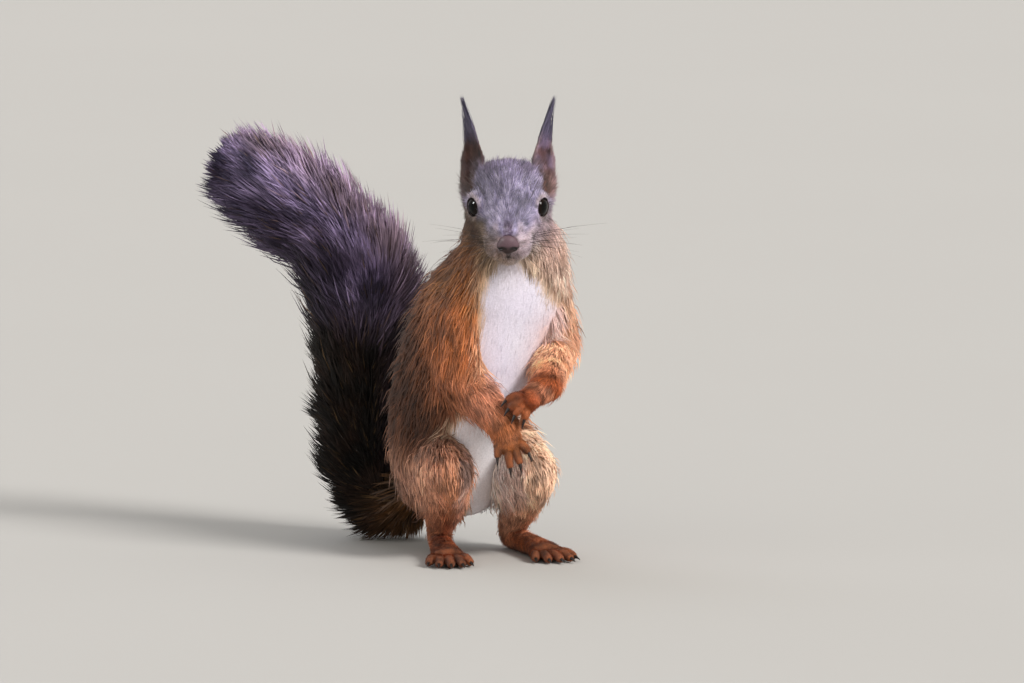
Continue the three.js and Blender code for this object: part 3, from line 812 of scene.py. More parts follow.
def thighMarks(points, normals, survey):
    right = ramp(-points[:, 0] - 2, -4, 4)
    patches = cloud(points, 8, 51)
    rightColour = 1.12 * mix(tone("ginger", "rose", 0.5), paint["peach"], 0.6)
    rightColour = mix(rightColour, paint["plum"], 0.25 * ramp(patches, 0.55, 0.8))
    front = ramp(points[:, 0], -20, -12) * ramp(44 - points[:, 2], -4, 6)
    rightColour = mix(rightColour, 1.2 * tone("ginger", "peach", 0.3), 0.75 * front)
    # Painted shade: a dark umber band along the fold where the right thigh meets the flank.
    foldShade = ramp(points[:, 2] + 0.8 * points[:, 0], 24, 36) * ramp(-points[:, 0], 10, 16)
    rightColour = mix(rightColour, tone("umber", "fox", 0.6), 0.55 * foldShade)
    # Painted light: the thigh on the animal's left, the lit side, is painted pale peach and cream, the right
    # one rust.
    leftColour = mix(tone("peach", "buff", 0.5), paint["cream"], 0.3 + 0.6 * patches)
    out = mix(leftColour, rightColour, right)
    inner = ramp(normals[:, 0] * np.where(points[:, 0] > 8, -1, 1), 0.25, 0.8)
    out = mix(out, tone("cream", "lilac", 0.5), 0.75 * (inner * ramp(-normals[:, 1], -0.3, 0.5)))
    return mix(out, tone("agouti", "umber", 0.5 * patches), ramp(normals @ -hipsAhead, 0.45, 0.95))


def shankMarks(points, normals, survey):
    right = ramp(-points[:, 0] - 2, -4, 4)
    # Painted light: the lower leg is painted paler peach on the animal's left, the lit side.
    out = mix(tone("peach", "ginger", 0.4), tone("rust", "rose", 0.3), right)
    return mix(out, paint["fox"], 0.4 * cloud(points, 6, 61))


def footMarks(points, normals, survey):
    out = tone("rust", "fox", 0.4 + 0.5 * cloud(points, 4, 63))
    out = mix(out, tone("fox", "earth", 0.4), ramp(survey["share"], 0.55, 0.95))
    return mix(out, paint["earth"], ramp(-normals[:, 2], 0.2, 0.8))


def tailMarks(points, normals, survey):
    far = ramp(survey["share"], 0.46, 0.64)
    edge = survey["across"]
    streaks = cloud(points, 6, 71)
    near = tone("soot", "umber", 0.5 * ramp(streaks, 0.35, 0.75))
    near = mix(tone("umber", "gold", 0.35), near, ramp(survey["share"], 0.04, 0.22))
    # Painted light: the outer, upper edge of the tail's base is painted lighter towards violet.
    outer = 0.4 * ramp(edge, 0.2, 0.9) * ramp(survey["share"], 0.1, 0.35)
    near = mix(near, tone("agouti", "violet", 0.4), outer)
    high = mix(paint["dusk"], 1.15 * paint["violet"], ramp(streaks, 0.28, 0.72))
    high = mix(high, paint["plum"], 0.4 * ramp(cloud(points, 12, 72), 0.4, 0.7))
    # Painted light and shade: the upper edge of the plume is painted pinker and brighter, the lower, inner
    # edge darker towards soot.
    high = mix(high, paint["pink"], 0.3 * ramp(edge, 0.3, 0.9))
    high = mix(high, paint["soot"], 0.7 * ramp(-edge, 0.25, 0.9) * ramp(0.95 - survey["share"], 0, 0.25))
    high = high * (0.8 + 0.35 * ramp(edge, -0.3, 0.5) - 0.25 * ramp(survey["share"], 0.82, 1))[:, None]
    return mix(near, high, far)


marksOf = {
    "trunk": trunkMarks, "head": headMarks, "ear": earMarks, "arm": armMarks, "forearm": forearmMarks,
    "hand": handMarks, "digit": digitMarks, "thigh": thighMarks, "shank": shankMarks, "foot": footMarks,
    "tail": tailMarks,
}


def markings(points, normals, survey):
    out = np.zeros((len(points), 3))
    for region, part in survey["parts"].items():
        rows = np.flatnonzero(part > 0.004)
        if len(rows):
            some = {key: value[rows] for key, value in survey.items() if key != "parts"}
            out[rows] += part[rows, None] * marksOf[region](points[rows], normals[rows], some)
    mottled = 1 + 1.0 * (cloud(points, 1.7, 95) - 0.5) + 0.8 * (cloud(points, 4.5, 96) - 0.5)
    colourful = 1 - ramp(out.min(1), 0.35, 0.6)
    return np.clip(out * (1 + (mottled - 1) * colourful)[:, None], 0, 1)


def paintPoints(mesh, colours):
    layer = mesh.color_attributes.new("coatColour", "FLOAT_COLOR", "POINT")
    rows = np.column_stack((colours, np.ones(len(colours)))).astype(np.float32)
    layer.data.foreach_set("color", rows.ravel())


def inScene(name, data):
    piece = bpy.data.objects.new(name, data)
    bpy.context.scene.collection.objects.link(piece)
    return piece


# A mesh from arrays. `lie` holds the way round and along each chain, and `soft` the lean of each point.
def makeObject(name, points, faces, material, colours=None, unwrap=None, lie=None, soft=None):
    mesh = bpy.data.meshes.new(name)
    mesh.vertices.add(len(points))
    mesh.vertices.foreach_set("co", np.asarray(points, np.float32).ravel())
    sides = faces.shape[1]
    mesh.loops.add(faces.size)
    mesh.loops.foreach_set("vertex_index", faces.astype(np.int32).ravel())
    mesh.polygons.add(len(faces))
    mesh.polygons.foreach_set("loop_start", np.arange(0, faces.size, sides, dtype=np.int32))
    mesh.update(calc_edges=True)
    mesh.shade_smooth()
    if colours is not None:
        paintPoints(mesh, colours)
    if lie is not None:
        layer = mesh.attributes.new("coatLie", "FLOAT_VECTOR", "POINT")
        layer.data.foreach_set("vector", lie.astype(np.float32).ravel())
    if unwrap is not None:
        layer = mesh.uv_layers.new(name="OFBake")
        layer.uv.foreach_set("vector", unwrap.astype(np.float32).ravel())
    if soft is not None:
        corners = points[faces]
        flat = unit(np.cross(corners[:, 1] - corners[:, 0], corners[:, 2] - corners[:, 0]))[:, None, :]
        leaning = (soft[faces] * flat).sum(2, keepdims=True) > 0.06
        mesh.normals_split_custom_set(np.where(leaning, soft[faces], flat).reshape(-1, 3))
    mesh.materials.append(material)
    return inScene(name, mesh)


def addNode(nodes, kind, inputs=None, **settings):
    node = nodes.new(kind)
    for key, value in settings.items():
        setattr(node, key, value)
    for key, value in (inputs or {}).items():
        node.inputs[key].default_value = value
    return node


def newFinish(name, roughness, specular):
    material = bpy.data.materials.new(name)
    material.use_nodes = True
    nodes, links = material.node_tree.nodes, material.node_tree.links
    shader = nodes["Principled BSDF"]
    shader.inputs["Roughness"].default_value = roughness
    shader.inputs["Specular IOR Level"].default_value = specular
    return material, nodes, links, shader


# The piece's own colours, made darker and lighter by noise.
def mottle(nodes, links, shader, source, noise, low, high):
    marks = addNode(nodes, "ShaderNodeAttribute", attribute_name="coatColour")
    links.new(source, noise.inputs["Vector"])
    shade = addNode(nodes, "ShaderNodeMapRange", {"To Min": low, "To Max": high})
    links.new(noise.outputs["Fac"], shade.inputs["Value"])
    blend = addNode(nodes, "ShaderNodeVectorMath", operation="MULTIPLY")
    links.new(marks.outputs["Color"], blend.inputs[0])
    links.new(shade.outputs["Result"], blend.inputs[1])
    links.new(blend.outputs["Vector"], shader.inputs["Base Color"])


# Fur, skin and horn: grain is the noise's scale, spread how much it changes the colour. With streaks the
# noise is drawn out along the way the coat lies.
def coatFinish(name, roughness, grain, spread, bump, sheen, streaks=None):
    material, nodes, links, shader = newFinish(name, roughness, 0.3)
    shader.inputs["Sheen Weight"].default_value = sheen
    shader.inputs["Sheen Roughness"].default_value = 0.5
    if streaks:
        place = addNode(nodes, "ShaderNodeAttribute", attribute_name="coatLie")
        stretch = addNode(nodes, "ShaderNodeMapping", {"Scale": streaks})
        links.new(place.outputs["Vector"], stretch.inputs["Vector"])
        source = stretch.outputs["Vector"]
    else:
        source = nodes.new("ShaderNodeTexCoord").outputs["Object"]
    noise = addNode(nodes, "ShaderNodeTexNoise", {"Scale": grain, "Detail": 3.0, "Roughness": 0.6})
    mottle(nodes, links, shader, source, noise, 1 - spread, 1 + spread)
    relief = addNode(nodes, "ShaderNodeBump", {"Strength": 0.7, "Distance": bump})
    links.new(noise.outputs["Fac"], relief.inputs["Height"])
    links.new(relief.outputs["Normal"], shader.inputs["Normal"])
    return material


def eyeFinish():
    material, nodes, links, shader = newFinish("eyeGloss", 0.03, 0.15)
    noise = addNode(nodes, "ShaderNodeTexNoise", {"Scale": 1200.0, "Detail": 4.0})
    mottle(nodes, links, shader, nodes.new("ShaderNodeTexCoord").outputs["Object"], noise, 0.6, 1.4)
    return material


finishes = {
    "skin": coatFinish("shortFur", 0.8, 1.0, 0.45, 0.0004, 0.05, streaks=(2.6, 0.35, 1)),
    "fur": coatFinish("bodyFur", 0.65, 1400, 0.25, 0.00005, 0.06),
    "tail": coatFinish("tailHair", 0.5, 1400, 0.25, 0.00005, 0.05),
    "nose": coatFinish("noseLeather", 0.5, 2600, 0.25, 0.00012, 0.1),
    "claw": coatFinish("clawHorn", 0.45, 1500, 0.2, 0.00003, 0.0),
    "whisker": coatFinish("whiskerHair", 0.4, 900, 0.1, 0.00001, 0.0),
    "eye": eyeFinish(),
}


# The unwrap lays each chain out as a sheet, cut along one side.
def sheetLayout(numbers):
    sizes = {}
    for n in numbers:
        chain = chains[n]
        length = np.linalg.norm(np.diff(chain["line"], axis=0), axis=1).sum() + 2 * chain["wide"].max()
        sizes[n] = (2 * math.pi * np.sqrt((chain["wide"] ** 2 + chain["thick"] ** 2).mean() / 2), length)
    order = sorted(sizes, key=lambda n: -sizes[n][1])
    side = math.sqrt(sum(w * h for w, h in sizes.values()))
    while True:
        places, x, y, tall = {}, 0.0, 0.0, 0.0
        for n in order:
            w, h = sizes[n]
            if x + w > side:
                x, y, tall = 0.0, y + tall, 0.0
            places[n] = (x, y)
            x, tall = x + w, max(tall, h)
        if y + tall <= side and max(w for w, h in sizes.values()) <= side:
            break
        side *= 1.04
    return {n: (np.array(places[n]) / side, np.array(sizes[n]) / side) for n in numbers}


sheetMargin = 0.03


def sheetPlace(points, owner, layout):
    out = np.zeros((len(points), 2))
    for n, (corner, size) in layout.items():
        rows = np.flatnonzero(owner == n)
        if len(rows):
            found = measure(chains[n], points[rows])
            reach = np.linalg.norm(np.diff(chains[n]["line"], axis=0), axis=1).sum()
            rim = chains[n]["wide"].max()
            along = (found["share"] * reach + found["beyond"] + rim) / (reach + 2 * rim)
            local = np.column_stack((found["angle"], np.clip(along, 0, 1)))
            out[rows] = corner + size * (sheetMargin + (1 - 2 * sheetMargin) * local)
    return out


skinSurvey = surveyOf(skinPoints)
skinLay = unit(relax(combed(skinPoints, skinNormals, skinSurvey), skinFaces, 36, 0.6))
skinColours = markings(skinPoints, skinNormals, skinSurvey)
folds = {"wide": 2.2, "dark": 0.5, "headLess": 0.35}   # shade where two parts of the body meet
shadowed = ramp(folds["wide"] - skinSurvey["second"], 0, folds["wide"]) * ramp(skinSurvey["coat"], 1.5, 3)
skinColours *= (1 - (folds["dark"] - folds["headLess"] * skinSurvey["parts"]["head"]) * shadowed)[:, None]
faceOwner = skinSurvey["owner"][skinFaces[:, 0]]
print("markings")

layout = sheetLayout(sorted(set(faceOwner)))
cornerPoints = skinPoints[skinFaces.ravel()]
cornerPlace = sheetPlace(cornerPoints, np.repeat(faceOwner, 4), layout).reshape(-1, 4, 2)
for n, (corner, size) in layout.items():
    rows = np.flatnonzero(faceOwner == n)
    u = cornerPlace[rows, :, 0]
    wraps = (u.max(1) - u.min(1)) > 0.5 * size[0]
    lowSide = u < corner[0] + 0.5 * size[0]
    u = np.where(wraps[:, None] & lowSide, corner[0] + size[0], u)
    cornerPlace[rows, :, 0] = u
streakLook = {"around": 10, "along": 60, "apart": 7.0}
skinLie = np.column_stack((
    skinSurvey["angle"] * 2 * math.pi * streakLook["around"], skinSurvey["share"] * streakLook["along"],
    skinSurvey["owner"] * streakLook["apart"]))
skin = makeObject("skin", toFrame(skinPoints), skinFaces, finishes["skin"], skinColours,
                  cornerPlace.reshape(-1, 2), skinLie)
fleshNodes = [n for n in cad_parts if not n.startswith(("eye", "nose", "claw"))]
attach(skin, "root")
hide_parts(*fleshNodes)

draws = np.random.default_rng(7)


# Roots spread evenly over some of the skin's faces.
def scatter(faceRows, count, density=1.0):
    quads = skinFaces[faceRows]
    tris = quads[:, [0, 1, 2, 0, 2, 3]].reshape(-1, 3)
    a, b, c = (skinPoints[tris[:, i]] for i in range(3))
    weight = np.linalg.norm(np.cross(b - a, c - a), axis=1)
    total = np.cumsum(weight * np.repeat(density * np.ones(len(quads)), 2))
    picks = (np.arange(count) + draws.random(count)) / count * total[-1]
    row = np.minimum(np.searchsorted(total, picks), len(tris) - 1)
    u, v = draws.random(count), draws.random(count)
    flip = u + v > 1
    u, v = np.where(flip, 1 - u, u), np.where(flip, 1 - v, v)
    roots = a[row] + u[:, None] * (b - a)[row] + v[:, None] * (c - a)[row]
    first, second, third = (skinLay[tris[row, i]] for i in range(3))
    return roots, unit(first + u[:, None] * (second - first) + v[:, None] * (third - first))


def clouds(points, size, seed):
    return np.stack([cloud(points, size, seed + i) for i in range(3)], axis=1)


# Tips lean towards the middle of the others whose roots share a cell of about `size`.
def clumpTogether(roots, tips, size, share):
    cells = np.floor(roots / size + 0.6 * clouds(roots, size * 2, 81)).astype(int)
    key, number = np.unique(cells, axis=0, return_inverse=True)
    number = number.ravel()
    heads = np.bincount(number)
    offset = tips - roots
    centre = np.stack([np.bincount(number, weights=tips[:, i]) / heads for i in range(3)], axis=1)
    return tips + share * (centre[number] - tips) * np.minimum(1, (heads[number] > 2))[:, None]


patchSize = 0.003  # across each face's patch on the unwrap


# Closed three-sided spikes through the given rows of points. Their colours and widths go row by row, and
# they are shaded mostly as the surface under them is, so that the coat looks soft.
def spikes(rows, widths, sideways, upwards, shades, places, softness=0.45):
    count, levels = len(rows[0]), len(rows)
    points, tints, spots, leans = [], [], [], []
    for level in range(levels - 1):
        half = 0.5 * widths[level][:, None]
        ridge = 0.7 * widths[level][:, None]
        row = rows[level]
        points += [row - half * sideways, row + half * sideways, row + ridge * upwards]
        tints += [shades[level]] * 3
        leans += [unit(upwards - softness * sideways), unit(upwards + softness * sideways), upwards]
        height = level / (levels - 1)
        spots += [(-0.5, height - 0.5), (0.5, height - 0.5), (0.08, height - 0.5)]
    points.append(rows[-1])
    tints.append(shades[-1])
    leans.append(upwards)
    spots.append((0, 0.5))
    each = len(points)
    faces = [(0, 2, 1)]
    for level in range(levels - 2):
        for i in range(3):
            a, b = level * 3 + i, level * 3 + (i + 1) % 3
            faces += [(a, b, b + 3), (a, b + 3, a + 3)]
    last = (levels - 2) * 3
    faces += [(last + i, last + (i + 1) % 3, each - 1) for i in range(3)]
    faces = np.array(faces)
    allPoints = np.stack(points, axis=1).reshape(-1, 3)
    allTints = np.stack(tints, axis=1).reshape(-1, 3)
    allLeans = np.stack(leans, axis=1).reshape(-1, 3)
    allFaces = (np.arange(count)[:, None, None] * each + faces).reshape(-1, 3)
    patch = patchSize * np.array(spots)[faces]
    unwrap = (places[:, None, None, :] + patch).reshape(-1, 2)
    return allPoints, allFaces, allTints, unwrap, allLeans


# Each coat's own values, and what it shares with the others. Lengths and widths: long is a share of the
# coat's depth, wide is in mm; deep is the depth the width belongs to; cell and clump gather the tips.
shortHair = {"bends": (), "proud": 0.05, "softness": 0.45, "rootShade": 0.5, "front": 0, "stray": 0.2}
longHair = {**shortHair, "bends": (0.5,), "clump": 0.25, "cell": 2.6, "lift": 1.0, "slot": "fur_rust",
            "contrast": 0.9, "tipLight": 1.25, "rootShade": 0.65}
coats = {
    "coat_face": {**shortHair, "regions": ("head",), "count": 38000, "long": 2.2, "wide": 0.42, "clump": 0.2,
                  "deep": 2, "cell": 1.3, "lift": 0.85, "slot": "fur_head", "contrast": 1.05,
                  "tipLight": 1.35},
    "coat_breast": {**longHair, "regions": ("trunk",), "front": 1, "count": 16500, "long": 2.9, "wide": 0.7,
                    "clump": 0.05, "deep": 3.8, "cell": 3.2, "stray": 0.08, "lift": 0.34,
                    "slot": "fur_white", "contrast": 0.04, "tipLight": 1.0, "rootShade": 1.0,
                    "softness": 0.12, "proud": 0.0},
    "coat_back": {**longHair, "regions": ("trunk",), "front": -1, "count": 18500, "long": 2.7, "wide": 0.6,
                  "clump": 0.35, "deep": 4, "cell": 3.4, "stray": 0.22},
    "coat_arms": {**longHair, "regions": ("arm", "forearm"), "count": 17500, "long": 3.0, "wide": 0.46,
                  "deep": 3},
    "coat_legs": {**longHair, "regions": ("thigh", "shank"), "count": 17500, "long": 2.4, "wide": 0.56,
                  "deep": 3.8, "lift": 0.9, "rootShade": 0.75},
    "coat_paws": {**shortHair, "regions": ("hand", "foot", "digit"), "count": 32000, "long": 2.7, "wide": 0.4,
                  "clump": 0.15, "deep": 1, "cell": 1.2, "stray": 0.18, "lift": 0.9, "slot": "fur_paw",
                  "contrast": 0.8, "tipLight": 1.35, "rootShade": 0.6},
}
faceCentres = skinPoints[skinFaces].mean(1)
faceNormals = unit(skinNormals[skinFaces].sum(1))
# Ticking: how much of each region's hair has a pale or a dark tip, and which share of the hairs.
ticking = {"head": 1.0, "trunk": 0.55, "arm": 0.35, "forearm": 0.3, "thigh": 0.35, "shank": 0.3}
tickLook = {"paleAbove": 0.6, "darkBelow": 0.22, "dark": 0.4, "pale": 0.45, "paleTint": (1.0, 0.93, 0.9)}


def strandShades(base, survey, look, levels):
    luck = draws.random(len(base))
    shade = 1 + look["contrast"] * (draws.random(len(base)) - 0.5)
    ticked = sum(share * survey["parts"][r] for r, share in ticking.items())
    light = base.mean(1)
    ticked = ticked * (1 - ramp(light, 0.45, 0.65))
    tip = base * look["tipLight"]
    share = tickLook["pale"]
    pale = (1 - share) * tip + share * light[:, None] * 1.5 * np.array(tickLook["paleTint"])
    tip = mix(tip, pale, ticked * (luck > tickLook["paleAbove"]))
    tip = mix(tip, base * tickLook["dark"], 0.8 * ticked * (luck < tickLook["darkBelow"]))
    root = base * look["rootShade"]
    colours = []
    for level in levels:
        strand = mix(root, base, level * 2) if level < 0.5 else mix(base, tip, 2 * level - 1)
        colours.append(np.clip(strand * shade[:, None], 0, 1))
    return colours


# Where no hair grows, in mm from each thing, and the share of it left in the ears' hollows.
bare = {"sole": 0.6, "underBelly": 26, "eye": 8, "lidSpread": 1.12, "mouth": 0.8, "hollow": 3.0,
        "hollowShare": 0.3}
neckHeights = (100, 130)
swirls = ((6, 91, 2.2), (2.5, 92, 1.6))  # size, seed and weight of the drifts in the coat


def growCoat(name, look):
    wanted = np.isin(regionOf[faceOwner], look["regions"])
    if look["front"]:
        x, z = faceCentres[:, 0], faceCentres[:, 2]
        reach = np.abs(x - np.interp(z, bib[:, 0], bib[:, 1])) < np.interp(z, bib[:, 0], bib[:, 2]) + 3
        front = reach & (faceNormals[:, 1] < 0.1)
        wanted &= front if look["front"] > 0 else ~front
    wanted &= (faceNormals[:, 2] > -0.8) | (faceCentres[:, 2] > bare["sole"])
    under = (faceNormals[:, 2] < -0.9) & (faceCentres[:, 2] < bare["underBelly"])
    wanted &= ~(under & (regionOf[faceOwner] == "trunk"))
    rows = np.flatnonzero(wanted)
    coat = skinSurvey["coat"][skinFaces[rows, 0]]
    neck = ramp(faceCentres[rows, 2], *neckHeights)
    roots, lay = scatter(rows, look["count"], (1 + neck) / np.clip(coat / look["deep"], 0.45, 1.1) ** 1.3)
    clear = np.ones(len(roots), bool)
    for eye in eyes.values():
        reach = gapTo(roots, eye["centre"])
        onLid = (lidSpread(roots, eye) > bare["lidSpread"]) & (reach > lid["socket"] + 0.1)
        clear &= (reach > bare["eye"]) | onLid
    clear &= np.linalg.norm((roots - noseCentre) / (noseSize + 0.1), axis=1) > 1
    inHollow = gapToLines(roots, hollows) <= bare["hollow"]
    clear &= ~inHollow | (draws.random(len(roots)) < bare["hollowShare"])
    clear &= gapToLines(roots, mouthLines) > bare["mouth"]
    roots, lay = roots[clear], lay[clear]
    normals = unit(slopeAt(roots))
    survey = surveyOf(roots)
    lay = unit(lay - normals * (lay * normals).sum(1)[:, None])
    sideways = unit(np.cross(normals, lay))
    swirl = draws.standard_normal(len(roots))
    for size, seed, weight in swirls:
        swirl = swirl + weight * (cloud(roots, size, seed) - 0.5)
    lay = unit(lay + (look["stray"] * swirl)[:, None] * sideways)
    coat = survey["coat"]
    length = coat * look["long"] * (0.75 + 0.5 * draws.random(len(roots)))
    length = np.maximum(length, 0.9)
    length *= 0.4 + 0.6 * ramp(eyeGapAt(roots) - lid["socket"], 0.3, 4)
    low = ramp(-normals[:, 2], -0.05, 0.4) * ramp(34 - roots[:, 2], 0, 8)
    length *= 1 - 0.7 * low * survey["parts"]["trunk"]
    height = coat * look["lift"] * (0.7 + 0.45 * draws.random(len(roots)))
    proud = draws.random(len(roots)) < look["proud"]
    height = np.where(proud, 1.7 * height, height)
    length = np.where(proud, 1.35 * length, length)
    along = np.sqrt(np.maximum(length ** 2 - height ** 2, (0.3 * length) ** 2))
    levels = (0.0, *look["bends"], 1.0)
    tips = roots + along[:, None] * lay + height[:, None] * normals
    tips = clumpTogether(roots, tips, look["cell"], look["clump"])
    lines = []
    for level in levels:
        if level == 0:
            lines.append(roots - 0.3 * normals)
            continue
        rise = height * (1 - (1 - level) ** 2)
        spot = roots + (tips - roots) * level
        lines.append(settle(spot, rise, rounds=2))
    keep = np.ones(len(roots), bool)
    for eye in eyes.values():
        for line in lines[1:]:
            keep &= gapTo(line, eye["centre"]) > lid["socket"] + 0.15
    for line in lines[1:]:
        keep &= np.linalg.norm((line - noseCentre) / noseSize, axis=1) > 1.0
        keep &= np.linalg.norm(line - roots, axis=1) < 1.8 * length + 1
    base = markings(roots, normals, survey)
    shades = strandShades(base, survey, look, levels)
    width = look["wide"] * (0.7 + 0.6 * draws.random(len(roots))) * np.clip(coat / look["deep"], 0.45, 1.1)
    width *= 1 - 0.35 * ramp(roots[:, 2], *neckHeights)
    widths = [width * (1 - 0.35 * level) for level in levels[:-1]]
    across = unit(np.cross(normals, lines[-1] - roots))
    places = sheetPlace(roots, survey["owner"], sheetLayout(sorted(set(survey["owner"]))))
    some = np.flatnonzero(keep)
    parts = spikes([line[some] for line in lines], [w[some] for w in widths], across[some], normals[some],
                   [s[some] for s in shades], places[some], look["softness"])
    finishCoat(name, *parts, look["slot"], finishes["fur"])


def finishCoat(name, points, faces, tints, unwrap, leans, slot, finish):
    points[:, 2] = np.maximum(points[:, 2], 0.05)
    piece = makeObject(name, toFrame(points), faces, finish, tints, unwrap, soft=leans)
    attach(piece, "root")
    print(name, len(faces), "faces")


for name, look in coats.items():
    growCoat(name, look)


# Long hair that leaves the tail at a slant and bends towards its tip, out to the outline.
plumes = {"coat_tail_base": (-1, 0.36), "coat_tail_middle": (0.36, 0.66), "coat_tail_tip": (0.66, 2)}
tailLook = {"count": 9800, "longest": 38, "wide": 0.7, "slant": (1.5, 0.95), "bend": 0.7, "stray": 0.16,
            "drift": 0.8, "bends": (0.35, 0.7), "clump": 0.35, "cell": 5.0, "contrast": 0.8, "ragged": 9,
            "steps": 10, "strays": 0.07, "strayPast": 4, "ochre": 0.05, "bright": 0.8}
tailNumber = chainNumber["tail"]
tailFaces = np.flatnonzero(faceOwner == tailNumber)
tailShare = skinSurvey["share"][skinFaces[:, 0]]


def growPlume(name, start, end):
    wanted = tailFaces[(tailShare[tailFaces] >= start) & (tailShare[tailFaces] < end)]
    roots = scatter(wanted, tailLook["count"])[0]
    normals = unit(slopeAt(roots))
    survey = surveyOf(roots)
    found = measure(chains[tailNumber], roots)
    heading = found["heading"]
    count = len(roots)
    wander = draws.standard_normal((count, 3)) * tailLook["stray"]
    wander += tailLook["drift"] * (clouds(roots, 7, 101) - 0.5)
    slant = np.interp(found["share"], (0.3, 0.7), tailLook["slant"]) * (0.55 + 0.9 * draws.random(count))
    slant = slant[:, None]
    longest = tailLook["longest"] * (0.8 + 0.3 * draws.random(count))
    steps = tailLook["steps"]
    spot = roots.copy()
    path = [roots]
    for i in range(steps):
        share = i / steps
        direction = unit(heading + normals * slant * (1 - tailLook["bend"] * share) + wander)
        spot = spot + direction * longest[:, None] / steps
        path.append(spot)
    allow = draws.normal(0.0, 0.8, count) + tailLook["ragged"] * (cloud(roots, 3.0, 104) ** 2 - 0.3)
    allow = np.where(draws.random(count) < tailLook["strays"], allow + tailLook["strayPast"], allow)
    reached = np.full(count, steps)
    for i in range(steps, 1, -1):
        outside = measure(chains[tailNumber], path[i], outer=True)["distance"] > allow
        reached = np.where(outside, i - 0.5, reached)
    paths = np.stack(path)

    def pathAt(share):
        place = share * reached
        low = np.minimum(place.astype(int), steps - 1)
        part = (place - low)[:, None]
        rows = np.arange(count)
        return paths[low, rows] * (1 - part) + paths[low + 1, rows] * part

    levels = (0.0, *tailLook["bends"], 1.0)
    lines = [pathAt(np.full(count, level)) for level in levels]
    lines[0] = lines[0] - 0.3 * normals
    tips = clumpTogether(roots, lines[-1], tailLook["cell"], tailLook["clump"])
    pull = tips - lines[-1]
    lines = [line + pull * level ** 1.5 for line, level in zip(lines, levels)]
    outerPlace = measure(chains[tailNumber], lines[-1], outer=True)
    survey["across"] = 0.4 * found["across"] + 0.6 * outerPlace["across"]
    survey["share"] = 0.5 * found["share"] + 0.5 * outerPlace["share"]
    base = markings(lines[2], normals, {**survey, "parts": {"tail": np.ones(count)}})
    luck = draws.random(count)
    base = mix(base, paint["ochre"], 0.5 * (luck < tailLook["ochre"]))
    shade = (1 + tailLook["contrast"] * (draws.random(count) - 0.5))[:, None]
    tip = mix(base * 0.75, paint["slate"], 0.35 * ramp(survey["share"], 0.7, 1.0))
    tip = np.where((luck > tailLook["bright"])[:, None], base * 1.6, tip)
    shades = [np.clip(tint * shade, 0, 1) for tint in (base * 0.55, base, base * 1.1, tip)]
    width = tailLook["wide"] * (0.6 + 0.7 * draws.random(count))
    widths = [width * 0.8, width, width * 0.75]
    across = unit(np.cross(normals, lines[2] - lines[0]))
    places = sheetPlace(roots, survey["owner"], sheetLayout([tailNumber]))
    ridge = unit(np.cross(lines[2] - lines[0], across))
    parts = spikes(lines, widths, across, ridge, shades, places)
    finishCoat(name, *parts, "fur_tail", finishes["tail"])


for name, (start, end) in plumes.items():
    growPlume(name, start, end)


# The ears' tufts: long hairs from the back and the tip of each ear, gathered to one point.
earTuft = {"count": 560, "wide": 0.28, "long": 17.5, "top": (19.7, 0.0, 195.0), "from": 0.7, "spread": 0.45,
           "levels": (0.0, 0.2, 0.45, 0.72, 1.0), "tones": (0.7, 1.0, 1.0, 1.15, 1.4)}
earShort = {**shortHair, "regions": ("ear",), "count": 10000, "long": 4.2, "wide": 0.26, "clump": 0.2,
            "deep": 0.4, "cell": 1.6, "stray": 0.15, "lift": 1.1, "slot": "fur_ear", "contrast": 0.6,
            "tipLight": 1.3}


def growEars():
    growCoat("coat_ears", earShort)
    for side, sign in (("right", -1), ("left", 1)):
        number = chainNumber[f"ear_{side}"]
        share = skinSurvey["share"][skinFaces[:, 0]]
        wanted = np.flatnonzero((faceOwner == number) & (share > earTuft["from"]))
        crowd = np.clip(share[wanted] - earTuft["from"] + 0.1, 0, 1) ** 1.5
        roots = scatter(wanted, earTuft["count"], crowd)[0]
        normals = unit(slopeAt(roots))
        survey = surveyOf(roots)
        count = len(roots)
        top = np.array(earTuft["top"])
        top[0] = headCentre[0] + sign * top[0]
        heading = chains[number]["heading"][-1]
        aim = top + earTuft["spread"] * draws.standard_normal((count, 3))
        reach = np.linalg.norm(aim - roots, axis=1)
        longest = earTuft["long"] * (0.25 + 0.8 * draws.random(count))
        share = np.minimum(1, longest / reach)
        tips = roots + (aim - roots) * share[:, None]
        away = np.linalg.norm(tips - roots, axis=1)[:, None]
        tilt = unit(top - chains[number]["line"][-1])
        first = roots + 0.33 * away * unit(heading + 0.04 * normals)
        second = tips - 0.33 * away * tilt
        lines = []
        for t in earTuft["levels"]:
            start = roots * (1 - t) ** 3 + 3 * first * t * (1 - t) ** 2
            lines.append(start + 3 * second * (1 - t) * t ** 2 + tips * t ** 3)
        lines[0] = lines[0] - 0.2 * normals
        base = markings(roots, normals, survey)
        dark = tone("umber", "slate", 0.5) * np.ones((count, 1))
        luck = (0.75 + 0.5 * draws.random(count))[:, None]
        tints = (base, mix(base, dark, 0.5), dark, dark, dark)
        shades = [np.clip(tint * light * luck, 0, 1) for tint, light in zip(tints, earTuft["tones"])]
        width = earTuft["wide"] * (0.7 + 0.6 * draws.random(count))
        across = unit(np.cross(normals, tips - roots))
        places = sheetPlace(roots, survey["owner"], sheetLayout(sorted(set(survey["owner"]))))
        parts = spikes(lines, [width, width, width * 0.85, width * 0.6], across, normals, shades, places)
        finishCoat(f"ear_tuft_{side}", *parts, "fur_ear", finishes["fur"])


growEars()


